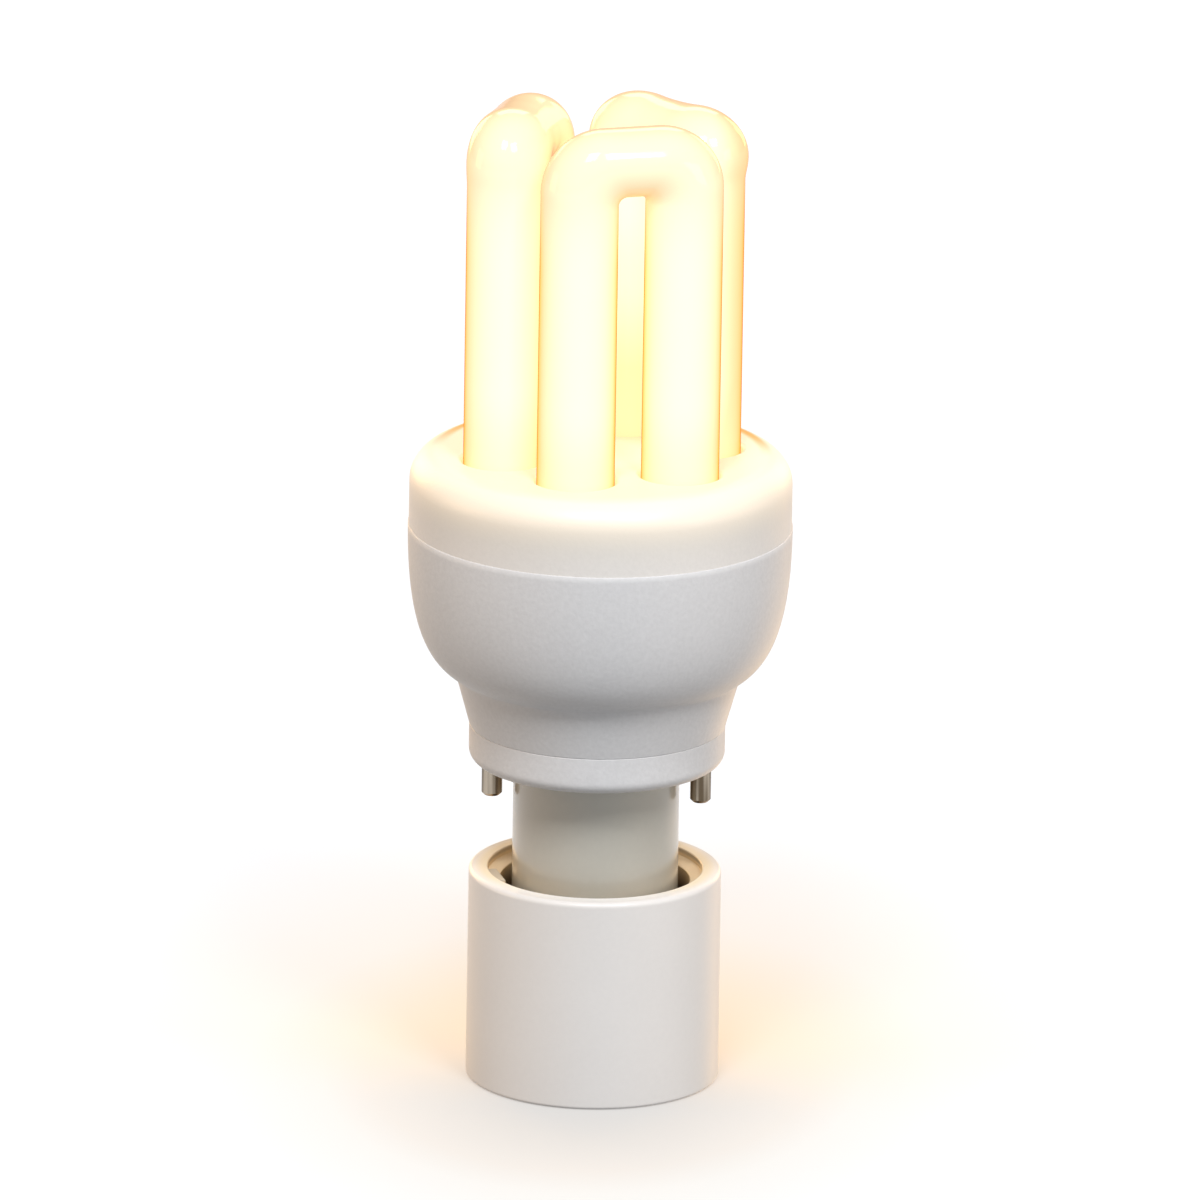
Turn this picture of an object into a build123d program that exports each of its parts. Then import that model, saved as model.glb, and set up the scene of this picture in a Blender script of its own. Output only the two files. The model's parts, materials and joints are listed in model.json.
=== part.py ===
from build123d import *
import math
import os

# Triple U-tube compact fluorescent bulb with a two-pin plug-in base, standing in its cup holder.
# Millimetres, +Z up, origin at the middle of the cup's foot. The pins lie along X.

# Contact pins
pin_spacing = 24.0
pin_radius = 1.2
pin_length = 4.7
pin_tip_bevel = 0.35
pin_shank_radius = 0.8
pin_collar_width = 0.3
pin_collar_height = 0.8
pin_tail_radius = 0.6
pin_tail_length = 2.0
pin_fit = 0.03

# Base cap, the ring under the neck
pin_to_edge = 1.5
cap_height = 4.4
cap_floor = 2.2
cap_wall = 0.95
cap_round = 1.4

# Plug post
pin_to_post = 1.25
post_length = 34.9
post_wall = 1.5
post_round = 0.6
post_fit = 0.05
flange_gap = 0.2
flange_height = 1.0

# Cup holder
post_gap = 1.36
cup_ledge = 1.4
cup_rim = 2.25
cup_height = 24.8
cup_floor = 2.8
cup_draft = 0.05
mouth_depth = 0.9
throat_slope = 0.5
rim_round = 0.6
foot_round = 0.4
key_angle = 203.0
key_width = 4.6
key_depth = 3.2
key_reach = 1.9
key_drop = 0.3

# Lower housing
housing_radius = 22.03
housing_wall = 1.6
neck_height = 6.1
neck_flare = 1.7
neck_wall = 1.7
neck_round = 0.7
bowl_height = 17.7
bowl_foot_angle = 23.4
bowl_foot_pull = 4.05
bowl_side_pull = 10.87
cavity_foot = 5.3
spigot_depth = 1.1
spigot_fit = 0.05
seam_bevel = 0.2

# Circuit board
board_drop = 2.3
board_thickness = 1.6
board_ledge = 1.6
board_fit = 0.15
part_margin = 1.0

# Top cover
cover_height = 8.45
cover_taper = 0.13
cover_shoulder = 3.4
plate_thickness = 2.0
lip_wall = 1.2
lip_fit = 0.08
leg_fit = 0.25
leg_round = 0.5

# Discharge tube
tube_radius = 4.45
leg_gap = 3.4
neighbour_gap = 2.39
bend_radius = 2.85
run_rise = 36.65
tube_turn = -71.4
leg_lift = 2.6
bridge_radius = 1.6
bridge_lift = 1.9
u_count = 3

# Cement and wires
cement_depth = 2.4
cement_fit = 0.05
lead_radius = 0.35
lead_offset = 1.5
supply_radius = 0.7

# Filter capacitor
can_radius = 5.0
can_height = 16.0
can_round = 0.5
can_crimp = 0.4
can_crimp_drop = 2.2

# Choke
choke_length = 11.2
choke_width = 9.2
core_depth = 3.2
core_yoke = 1.6
core_side = 1.5
core_middle = 2.4
core_fit = 0.1
bobbin_wall = 0.4
bobbin_height = 7.6
bobbin_flange = 0.6
winding_inset = 0.3

# Drive toroid
toroid_outer = 3.8
toroid_inner = 2.0
toroid_height = 3.6
toroid_wire = 0.45
toroid_coils = 3
toroid_coil_angle = 46.0
toroid_angle = 26.0

# Transistors
transistor_radius = 2.4
transistor_flat = 1.3
transistor_height = 4.8
transistor_lead = 0.45
transistor_pitch = 1.27
transistor_stand = 2.0
transistor_angles = (155.0, 132.0)

# Film capacitors
film_stand = 0.8
film_round = 0.8
film_pitch = 0.6
resonant_size = (10.0, 4.5, 5.8)
coupling_size = (9.0, 4.0, 5.5)

# Standing axial parts: diodes and fuse resistor
diode_radius = 1.3
diode_length = 4.6
diode_angles = (200.0, 212.0, 224.0, 236.0)
resistor_radius = 1.5
resistor_length = 5.0
resistor_angles = (-58.0,)
axial_stand = 1.2
hairpin = 0.8

# Line choke and thermistor
drum_radius = 3.2
drum_height = 7.0
drum_flange = 0.9
drum_waist = 0.4
drum_angle = -32.0
disc_radius = 2.5
disc_thickness = 2.0
disc_stand = 1.5
disc_angle = 205.0
disc_offset = 4.5

# Radii of the base, from the pins outwards and inwards
pin_offset = pin_spacing / 2
post_radius = pin_offset - pin_radius - pin_to_post
flange_radius = post_radius + pin_to_post - pin_collar_width - flange_gap
cap_radius = pin_offset + pin_radius + pin_to_edge
cap_bore = cap_radius - cap_wall
throat_radius = post_radius + post_gap
mouth_radius = throat_radius + cup_ledge
cup_radius = mouth_radius + cup_rim

# Radii of the housing
neck_bore = cap_radius - neck_wall
neck_top_radius = cap_radius + neck_flare
bore_radius = housing_radius - housing_wall
ledge_radius = bore_radius - board_ledge
lip_radius = bore_radius - lip_fit
lip_bore = lip_radius - lip_wall

# Heights, from the cup's foot up
base_z = cup_floor + post_length
floor_z = base_z + cap_floor
ring_z = base_z + cap_height
neck_z = ring_z + neck_height
seam_z = neck_z + bowl_height
board_z = seam_z - board_drop
under_z = board_z - board_thickness
plate_z = seam_z + cover_height
plate_under_z = plate_z - plate_thickness
leg_foot_z = board_z + leg_lift
bridge_z = leg_foot_z + bridge_lift
run_z = plate_z + run_rise
bend_z = run_z - bend_radius

# Tube legs: each U stands square to its own radius, and neighbours keep one gap between legs
half_span = tube_radius + leg_gap / 2
half_turn = math.pi / u_count
u_offset = (tube_radius + neighbour_gap / 2 + half_span * math.cos(half_turn)) / math.sin(half_turn)
leg_radius = math.hypot(u_offset, half_span)
leg_swing = math.degrees(math.atan2(half_span, u_offset))
u_angles = [tube_turn + 360 * k / u_count for k in range(u_count)]


def polar(radius, angle):
    """The point of the XY plane at this distance and angle in degrees."""
    return radius * math.cos(math.radians(angle)), radius * math.sin(math.radians(angle))


def heading(angle):
    """The level direction at this angle in degrees."""
    return (*polar(1, angle), 0)


def on_board(reach, angle):
    """Where a part of this reach stands so that it keeps the margin from the housing's wall."""
    return polar(ledge_radius - part_margin - reach, angle)


# The two legs of each U, as left and right seen from outside
left_legs = [polar(leg_radius, angle - leg_swing) for angle in u_angles]
right_legs = [polar(leg_radius, angle + leg_swing) for angle in u_angles]
legs = left_legs + right_legs

os.makedirs("parts", exist_ok=True)


def write(builder, name):
    """Labels a finished piece and writes its STEP file."""
    builder.part.label = name
    export_step(builder.part, f"parts/{name}.step")


# Cup holder: a turned cup with a stepped mouth, and one key block on its ledge
with BuildPart() as holder_cup:
    with BuildSketch(Plane.XZ) as cup_section:
        with BuildLine():
            Polyline(
                (0, 0),
                (cup_radius, 0),
                (cup_radius - cup_draft, cup_height),
                (mouth_radius, cup_height),
                (mouth_radius, cup_height - mouth_depth),
                (throat_radius, cup_height - mouth_depth - throat_slope),
                (throat_radius, cup_floor),
                (0, cup_floor),
                close=True,
            )
        make_face()
        corners = cup_section.vertices()
        rim_corners = corners.group_by(Axis.Y)[-1]
        foot_corner = corners.group_by(Axis.Y)[0].sort_by(Axis.X)[-1]
        fillet(rim_corners, rim_round)
        fillet(foot_corner, foot_round)
    revolve(axis=Axis.Z)
    key_plane = Plane.XY.offset(cup_height - key_drop).rotated((0, 0, key_angle))
    with BuildSketch(key_plane):
        with Locations((mouth_radius - key_reach, 0)):
            Rectangle(key_reach + rim_round, key_width, align=(Align.MIN, Align.CENTER))
    extrude(amount=-key_depth)
write(holder_cup, "holder_cup")

# Plug post: a hollow round post with a closed foot, hung by its flange on the base cap's floor
with BuildPart() as plug_post:
    with BuildSketch(Plane.XZ) as post_section:
        with BuildLine():
            Polyline(
                (0, cup_floor),
                (post_radius, cup_floor),
                (post_radius, floor_z),
                (flange_radius, floor_z),
                (flange_radius, floor_z + flange_height),
                (post_radius - post_wall, floor_z + flange_height),
                (post_radius - post_wall, cup_floor + post_wall),
                (0, cup_floor + post_wall),
                close=True,
            )
        make_face()
        foot_corner = post_section.vertices().group_by(Axis.Y)[0].sort_by(Axis.X)[-1]
        fillet(foot_corner, post_round)
    revolve(axis=Axis.Z)
write(plug_post, "plug_post")

# Base cap: a shallow pan with a hole for the post and two for the pins
with BuildPart() as base_cap:
    with BuildSketch(Plane.XZ) as cap_section:
        with BuildLine():
            Polyline(
                (post_radius + post_fit, base_z),
                (cap_radius, base_z),
                (cap_radius, ring_z),
                (cap_bore, ring_z),
                (cap_bore, floor_z),
                (post_radius + post_fit, floor_z),
                close=True,
            )
        make_face()
        rim_corner = cap_section.vertices().group_by(Axis.Y)[0].sort_by(Axis.X)[-1]
        fillet(rim_corner, cap_round)
    revolve(axis=Axis.Z)
    with Locations((-pin_offset, 0, floor_z), (pin_offset, 0, floor_z)):
        Hole(pin_shank_radius + pin_fit)
write(base_cap, "base_cap")

# Contact pins: a bevelled pin that shoulders on the cap, a shank in its floor, a riveted collar and a tail
for side, name in ((-1, "contact_pin_left"), (1, "contact_pin_right")):
    tip_z = base_z - pin_length
    collar_z = floor_z + pin_collar_height
    tail_z = collar_z + pin_tail_length
    with BuildPart() as contact_pin:
        with BuildSketch(Plane((side * pin_offset, 0, 0), x_dir=(1, 0, 0), z_dir=(0, -1, 0))):
            with BuildLine():
                Polyline(
                    (0, tip_z),
                    (pin_radius - pin_tip_bevel, tip_z),
                    (pin_radius, tip_z + pin_tip_bevel),
                    (pin_radius, base_z),
                    (pin_shank_radius, base_z),
                    (pin_shank_radius, floor_z),
                    (pin_radius + pin_collar_width, floor_z),
                    (pin_radius + pin_collar_width, collar_z),
                    (pin_tail_radius, collar_z),
                    (pin_tail_radius, tail_z),
                    (0, tail_z),
                    close=True,
                )
            make_face()
        revolve(axis=Axis((side * pin_offset, 0, 0), (0, 0, 1)))
    write(contact_pin, name)

# Lower housing: a tapered neck that flares into the bowl, with a spigot below and the board's ledge inside
with BuildPart() as lower_housing:
    with BuildSketch(Plane.XZ) as housing_section:
        foot_pull = Vector(*polar(bowl_foot_pull, bowl_foot_angle))
        neck_corner = Vector(neck_top_radius, neck_z)
        with BuildLine():
            Polyline(
                (neck_bore, ring_z - spigot_depth),
                (cap_bore - spigot_fit, ring_z - spigot_depth),
                (cap_bore - spigot_fit, ring_z),
                (cap_radius, ring_z),
                neck_corner,
            )
            Bezier(
                neck_corner,
                neck_corner + foot_pull,
                (housing_radius, seam_z - bowl_side_pull),
                (housing_radius, seam_z - seam_bevel),
            )
            Polyline(
                (housing_radius, seam_z - seam_bevel),
                (housing_radius - seam_bevel, seam_z),
                (bore_radius, seam_z),
                (bore_radius, under_z),
                (ledge_radius, under_z),
                (ledge_radius, neck_z + cavity_foot),
                (neck_bore, neck_z),
                (neck_bore, ring_z - spigot_depth),
            )
        make_face()
        fillet(housing_section.vertices().sort_by_distance(neck_corner)[0], neck_round)
    revolve(axis=Axis.Z)
write(lower_housing, "lower_housing")

# Circuit board: a disc on the housing's ledge
with BuildPart() as circuit_board:
    with BuildSketch(Plane.XY.offset(under_z)):
        Circle(bore_radius - board_fit)
    extrude(amount=board_thickness)
write(circuit_board, "circuit_board")

# Top cover: a shallow lid whose lip clamps the board, with a rounded hole for each tube leg
with BuildPart() as top_cover:
    with BuildSketch(Plane.XZ) as cover_section:
        with BuildLine():
            Polyline(
                (lip_bore, board_z),
                (lip_radius, board_z),
                (lip_radius, seam_z),
                (housing_radius, seam_z),
                (housing_radius - cover_taper, plate_z),
                (0, plate_z),
                (0, plate_under_z),
                (lip_bore, plate_under_z),
                close=True,
            )
        make_face()
        shoulder = cover_section.vertices().group_by(Axis.Y)[-1].sort_by(Axis.X)[-1]
        fillet(shoulder, cover_shoulder)
    revolve(axis=Axis.Z)
    with Locations(*[(x, y, plate_z) for x, y in legs]):
        Hole(tube_radius + leg_fit, depth=plate_thickness)
    leg_rims = top_cover.edges(Select.LAST).group_by(Axis.Z)[-1]
    fillet(leg_rims, leg_round)
write(top_cover, "top_cover")

# One U of tube in its own plane: two legs, a level run and two tight round corners
with BuildPart() as u_tube:
    with Locations((0, -half_span, leg_foot_z), (0, half_span, leg_foot_z)):
        Cylinder(tube_radius, bend_z - leg_foot_z, align=(Align.CENTER, Align.CENTER, Align.MIN))
    with BuildSketch(Plane.XZ):
        with Locations((0, run_z)):
            Circle(tube_radius)
    extrude(amount=half_span - bend_radius, both=True)
    for side in (-1, 1):
        pivot = Vector(0, side * (half_span - bend_radius), bend_z)
        with BuildSketch(Plane(pivot, x_dir=(0, side, 0), z_dir=(0, 0, 1))):
            with Locations((bend_radius, 0)):
                Circle(tube_radius)
            Rectangle(
                bend_radius + tube_radius,
                2 * tube_radius,
                align=(Align.MIN, Align.CENTER),
                mode=Mode.INTERSECT,
            )
        revolve(axis=Axis(pivot, (side, 0, 0)), revolution_arc=90)

# Discharge tube: three U's joined by two short bridges under the cover
with BuildPart() as discharge_tube:
    with PolarLocations(u_offset, u_count, start_angle=tube_turn):
        add(u_tube.part)
    for start, end in ((right_legs[0], left_legs[1]), (right_legs[2], left_legs[0])):
        first, last = Vector(*start, bridge_z), Vector(*end, bridge_z)
        with BuildSketch(Plane(first, z_dir=last - first)):
            Circle(bridge_radius)
        extrude(amount=(last - first).length)
write(discharge_tube, "discharge_tube")

# Tube cement: a disc poured into the cover, under its plate, that grips every leg
with BuildPart() as tube_cement:
    with BuildSketch(Plane.XY.offset(plate_under_z)):
        Circle(lip_bore - cement_fit)
        with Locations(*legs):
            Circle(tube_radius, mode=Mode.SUBTRACT)
    extrude(amount=-cement_depth)
write(tube_cement, "tube_cement")

# Electrode wires: a pair from each of the two open legs down to the board
with BuildPart() as tube_lead_wires:
    with BuildSketch(Plane.XY.offset(board_z)):
        with Locations(right_legs[1], left_legs[2]):
            with GridLocations(2 * lead_offset, 0, 2, 1):
                Circle(lead_radius)
    extrude(amount=leg_lift)
write(tube_lead_wires, "tube_lead_wires")

# Supply wires: from each pin's tail up to the board
with BuildPart() as supply_wires:
    with BuildSketch(Plane.XY.offset(tail_z)):
        with Locations((-pin_offset, 0), (pin_offset, 0)):
            Circle(supply_radius)
    extrude(amount=under_z - tail_z)
write(supply_wires, "supply_wires")

# Filter capacitor: a can with a crimped groove, hanging from the middle of the board
with BuildPart() as filter_capacitor:
    with BuildSketch(Plane.XZ) as can_section:
        crimp_z = under_z - can_crimp_drop
        with BuildLine():
            Polyline(
                (0, under_z - can_height),
                (can_radius, under_z - can_height),
                (can_radius, crimp_z - can_crimp),
                (can_radius - can_crimp, crimp_z),
                (can_radius, crimp_z + can_crimp),
                (can_radius, under_z),
                (0, under_z),
                close=True,
            )
        make_face()
        low_corner = can_section.vertices().group_by(Axis.Y)[0].sort_by(Axis.X)[-1]
        fillet(low_corner, can_round)
    revolve(axis=Axis.Z)
write(filter_capacitor, "filter_capacitor")

# Choke: a level core of two windows, a flanged bobbin on its middle limb, and the winding between the flanges
choke_y = math.sqrt((ledge_radius - part_margin) ** 2 - (choke_length / 2) ** 2) - choke_width / 2
choke_z = under_z - bobbin_height / 2
choke_plane = Plane((0, choke_y, choke_z))
window_length = choke_length - 2 * core_yoke
window_width = (choke_width - core_middle) / 2 - core_side
bobbin_length = window_length - 2 * core_fit
flange_width = choke_width - 2 * core_side - 2 * core_fit
hub_width = core_middle + 2 * (core_fit + bobbin_wall)
hub_height = core_depth + 2 * (core_fit + bobbin_wall)
coil_length = bobbin_length - 2 * bobbin_flange
# Sections square to the choke's length: local X is the choke's width, local Y its height
choke_across = Plane((0, choke_y, choke_z), x_dir=(0, 1, 0), z_dir=(1, 0, 0))

with BuildPart() as choke_core:
    with BuildSketch(choke_plane.offset(-core_depth / 2)):
        Rectangle(choke_length, choke_width)
        with GridLocations(0, core_middle + window_width, 1, 2):
            Rectangle(window_length, window_width, mode=Mode.SUBTRACT)
    extrude(amount=core_depth)
write(choke_core, "choke_core")

with BuildPart() as choke_bobbin:
    with BuildSketch(choke_across.offset(-bobbin_length / 2)):
        Rectangle(hub_width, hub_height)
    extrude(amount=bobbin_length)
    for start in (-bobbin_length / 2, bobbin_length / 2 - bobbin_flange):
        with BuildSketch(choke_across.offset(start)):
            Rectangle(flange_width, bobbin_height)
        extrude(amount=bobbin_flange)
    with BuildSketch(choke_across.offset(-bobbin_length / 2)):
        Rectangle(core_middle + 2 * core_fit, core_depth + 2 * core_fit)
    extrude(amount=bobbin_length, mode=Mode.SUBTRACT)
write(choke_bobbin, "choke_bobbin")

with BuildPart() as choke_winding:
    with BuildSketch(choke_across.offset(-coil_length / 2)):
        RectangleRounded(flange_width - 2 * winding_inset, bobbin_height - 2 * winding_inset, winding_inset)
        Rectangle(hub_width, hub_height, mode=Mode.SUBTRACT)
    extrude(amount=coil_length)
write(choke_winding, "choke_winding")

# Drive toroid: a ferrite ring flat against the board, with short coils wound round it
toroid_x, toroid_y = on_board(toroid_outer + toroid_wire, toroid_angle)
toroid_z = under_z - toroid_wire - toroid_height / 2
toroid_axis = Axis((toroid_x, toroid_y, 0), (0, 0, 1))

with BuildPart() as toroid_core:
    with BuildSketch(Plane((toroid_x, toroid_y, toroid_z - toroid_height / 2))):
        Circle(toroid_outer)
        Circle(toroid_inner, mode=Mode.SUBTRACT)
    extrude(amount=toroid_height)
write(toroid_core, "toroid_core")

with BuildPart() as toroid_winding:
    ring_width = toroid_outer - toroid_inner
    for k in range(toroid_coils):
        turn = 360 * k / toroid_coils
        across = Plane((toroid_x, toroid_y, toroid_z), x_dir=heading(turn), z_dir=heading(turn - 90))
        with BuildSketch(across):
            with Locations((toroid_inner + ring_width / 2, 0)):
                Rectangle(ring_width + 2 * toroid_wire, toroid_height + 2 * toroid_wire)
                Rectangle(ring_width, toroid_height, mode=Mode.SUBTRACT)
        revolve(axis=toroid_axis, revolution_arc=toroid_coil_angle)
write(toroid_winding, "toroid_winding")

# Transistors: flat-sided round bodies on three leads
for angle, name in zip(transistor_angles, ("transistor_high", "transistor_low")):
    x, y = on_board(transistor_radius, angle)
    facing = Plane((x, y, under_z - transistor_stand), x_dir=heading(angle), z_dir=(0, 0, 1))
    with BuildPart() as transistor:
        with BuildSketch(facing):
            Circle(transistor_radius)
            with Locations((-transistor_flat, 0)):
                Rectangle(
                    2 * transistor_radius,
                    2 * transistor_radius,
                    align=(Align.MAX, Align.CENTER),
                    mode=Mode.SUBTRACT,
                )
        extrude(amount=-transistor_height)
        with BuildSketch(facing):
            with GridLocations(0, transistor_pitch, 1, 3):
                Rectangle(transistor_lead, transistor_lead)
        extrude(amount=transistor_stand)
    write(transistor, name)

# Film capacitors: rounded blocks on two leads, in line with the board's middle
coupling_y = math.sqrt((ledge_radius - part_margin) ** 2 - (coupling_size[0] / 2) ** 2) - coupling_size[1] / 2
resonant_y = (can_radius + coupling_y - coupling_size[1] / 2) / 2
for name, size, y in (
    ("resonant_capacitor", resonant_size, resonant_y),
    ("coupling_capacitor", coupling_size, coupling_y),
):
    length, width, height = size
    block_plane = Plane((0, -y, under_z - film_stand))
    with BuildPart() as film_capacitor:
        with BuildSketch(block_plane):
            RectangleRounded(length, width, film_round)
        extrude(amount=-height)
        with BuildSketch(block_plane):
            with GridLocations(length * film_pitch, 0, 2, 1):
                Circle(lead_radius)
        extrude(amount=film_stand)
    write(film_capacitor, name)

# Standing axial parts: a body on end, one lead straight up and one that turns back up beside it
for name, radius, length, angles in (
    ("rectifier_diodes", diode_radius, diode_length, diode_angles),
    ("fuse_resistor", resistor_radius, resistor_length, resistor_angles),
):
    with BuildPart() as axial_part:
        for angle in angles:
            x, y = on_board(radius, angle)
            # Local X points to the board's middle, local Y up, with the board at zero
            upright = Plane((x, y, under_z), x_dir=heading(angle + 180), z_dir=heading(angle + 90))
            low = -axial_stand - length
            with BuildSketch(upright):
                with Locations((0, -axial_stand)):
                    Rectangle(radius, length, align=(Align.MIN, Align.MAX))
                Rectangle(lead_radius, axial_stand, align=(Align.MIN, Align.MAX))
            revolve(axis=Axis((x, y, 0), (0, 0, 1)))
            with BuildLine(upright) as lead_route:
                Polyline(
                    (0, low),
                    (0, low - hairpin),
                    (radius + hairpin, low - hairpin),
                    (radius + hairpin, 0),
                )
            with BuildSketch(Plane(lead_route.line @ 0, z_dir=lead_route.line % 0)):
                Circle(lead_radius)
            sweep(path=lead_route.line, transition=Transition.RIGHT)
    write(axial_part, name)

# Line choke: a sleeved drum with a flange at each end
with BuildPart() as line_choke:
    x, y = on_board(drum_radius, drum_angle)
    with BuildSketch(Plane((x, y, under_z))):
        Circle(drum_radius - drum_waist)
    extrude(amount=-drum_height)
    for start in (0, drum_height - drum_flange):
        with BuildSketch(Plane((x, y, under_z - start))):
            Circle(drum_radius)
        extrude(amount=-drum_flange)
write(line_choke, "line_choke")

# Start thermistor: a disc on edge on two leads
with BuildPart() as start_thermistor:
    x, y = polar(can_radius + disc_offset, disc_angle)
    outward = heading(disc_angle)
    disc_z = under_z - disc_stand - disc_radius
    with BuildSketch(Plane((x, y, disc_z), z_dir=outward).offset(-disc_thickness / 2)):
        Circle(disc_radius)
    extrude(amount=disc_thickness)
    with BuildSketch(Plane((x, y, disc_z), x_dir=outward, z_dir=(0, 0, 1))):
        with GridLocations(0, disc_radius, 1, 2):
            Circle(lead_radius)
    extrude(amount=disc_radius + disc_stand)
write(start_thermistor, "start_thermistor")
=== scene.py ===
"""Dresses a triple U-tube compact fluorescent bulb in its cup holder: meshes, finishes, light and camera.

Lengths are written in millimetres and become metres where a mesh, a light or a pattern is made.
"""

import json
import logging
import math
from dataclasses import dataclass
from enum import Enum
from typing import Any, Mapping, Sequence

import bmesh
import bpy
import numpy as np
from mathutils import Matrix, Vector
from mathutils.geometry import delaunay_2d_cdt

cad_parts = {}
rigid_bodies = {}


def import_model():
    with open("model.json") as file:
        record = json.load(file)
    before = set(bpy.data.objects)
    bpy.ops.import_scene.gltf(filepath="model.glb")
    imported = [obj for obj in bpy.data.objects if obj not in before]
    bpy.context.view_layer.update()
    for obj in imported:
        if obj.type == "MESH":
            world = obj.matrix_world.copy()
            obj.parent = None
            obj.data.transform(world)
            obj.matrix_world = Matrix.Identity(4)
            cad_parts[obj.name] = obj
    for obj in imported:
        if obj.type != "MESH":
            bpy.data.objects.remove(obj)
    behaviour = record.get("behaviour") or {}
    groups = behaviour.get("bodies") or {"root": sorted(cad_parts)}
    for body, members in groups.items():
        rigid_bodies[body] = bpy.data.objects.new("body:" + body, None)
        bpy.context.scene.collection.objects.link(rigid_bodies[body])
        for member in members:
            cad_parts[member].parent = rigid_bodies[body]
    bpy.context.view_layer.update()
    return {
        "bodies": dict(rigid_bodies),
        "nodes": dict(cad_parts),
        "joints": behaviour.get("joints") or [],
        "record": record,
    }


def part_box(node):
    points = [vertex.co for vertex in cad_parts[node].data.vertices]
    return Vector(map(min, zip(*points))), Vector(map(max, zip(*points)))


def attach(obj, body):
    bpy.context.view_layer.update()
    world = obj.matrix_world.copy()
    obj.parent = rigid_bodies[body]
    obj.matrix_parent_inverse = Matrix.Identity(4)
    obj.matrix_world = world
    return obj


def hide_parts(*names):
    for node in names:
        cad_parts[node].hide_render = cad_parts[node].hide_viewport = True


LOG = logging.getLogger("lamp")
MM = 0.001
BODY = "root"
UP = np.array([0.0, 0.0, 1.0])
# The mean of a noise, and how many bands a wave texture has in one unit of its scale.
NOISE_MIDDLE = 0.5
BAND_RATIO = 3.0
# Faces round a turned piece, the distance in millimetres at which points weld, and a length of nothing.
LATHE_STEPS = 192
WELD = 1e-4
TINY = 1e-6

Colour = tuple[float, float, float, float]
BLACK: Colour = (0.0, 0.0, 0.0, 1.0)


def srgb(red: float, green: float, blue: float) -> Colour:
    """Linear colour of a screen colour given from 0 to 255.

    Args:
        red: Red level on the screen.
        green: Green level on the screen.
        blue: Blue level on the screen.

    Returns:
        The linear red, green, blue and an alpha of 1.
    """
    level = np.array([red, green, blue], float) / 255
    linear = np.where(level <= 0.04045, level / 12.92, ((level + 0.055) / 1.055) ** 2.4)
    return (*linear.tolist(), 1.0)


def shaded(colour: Colour, factor: float) -> Colour:
    """The same colour, lighter or darker by a factor."""
    return (colour[0] * factor, colour[1] * factor, colour[2] * factor, colour[3])


def heading(angle: float) -> np.ndarray:
    """Level unit direction at an angle in degrees from +X."""
    return np.array([math.cos(math.radians(angle)), math.sin(math.radians(angle)), 0.0])


def outward(azimuth: float, elevation: float) -> np.ndarray:
    """Unit direction at an azimuth and an elevation in degrees."""
    rise = math.radians(elevation)
    return heading(azimuth) * math.cos(rise) + UP * math.sin(rise)


def smoothstep(low: float, high: float, value: np.ndarray) -> np.ndarray:
    """Cubic ramp from 0 at low to 1 at high: 3t^2 - 2t^3 of the clipped share t."""
    share = np.clip((value - low) / (high - low), 0, 1)
    return share * share * (3 - 2 * share)


def ring_angles(steps: int) -> np.ndarray:
    """Equal angles round a full turn, in radians, without the repeated end."""
    return np.arange(steps) * (2 * math.pi / steps)


def circle(steps: int) -> np.ndarray:
    """Points by 2 round a circle of radius 1: (cos a, sin a) at equal angles a."""
    angle = ring_angles(steps)
    return np.stack([np.cos(angle), np.sin(angle)], -1)


def unit(vectors: np.ndarray) -> np.ndarray:
    """Each row divided by its own length."""
    return vectors / np.linalg.norm(vectors, axis=-1, keepdims=True)


@dataclass(frozen=True)
class Surface:
    """Points in millimetres with the quads and triangles between them."""

    points: np.ndarray
    quads: np.ndarray
    tris: np.ndarray

    def __add__(self, other: "Surface") -> "Surface":
        """Both surfaces as one, with the second one's point numbers moved up."""
        shift = len(self.points)
        return Surface(
            np.vstack([self.points, other.points]),
            np.vstack([self.quads, other.quads + shift]),
            np.vstack([self.tris, other.tris + shift]),
        )

    def moved(self, offset: Sequence[float]) -> "Surface":
        """The surface carried by an offset."""
        return Surface(self.points + np.asarray(offset, float), self.quads, self.tris)


def grid_surface(points: np.ndarray, wrap_rows: bool = False) -> Surface:
    """Quads between the neighbours of a grid of points, whose last column joins the first.

    Args:
        points: Array of rows by columns by 3.
        wrap_rows: Whether the last row joins the first.

    Returns:
        The surface. Face (i, j) runs through (i, j), (i, j+1), (i+1, j+1) and (i+1, j).
    """
    rows, columns = points.shape[:2]
    number = np.arange(rows * columns).reshape(rows, columns)
    below = number if wrap_rows else number[:-1]
    above = np.roll(number, -1, 0) if wrap_rows else number[1:]
    corners = (below, np.roll(below, -1, 1), np.roll(above, -1, 1), above)
    quads = np.stack(corners, -1).reshape(-1, 4)
    return Surface(points.reshape(-1, 3), quads, np.zeros((0, 3), int))


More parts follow.
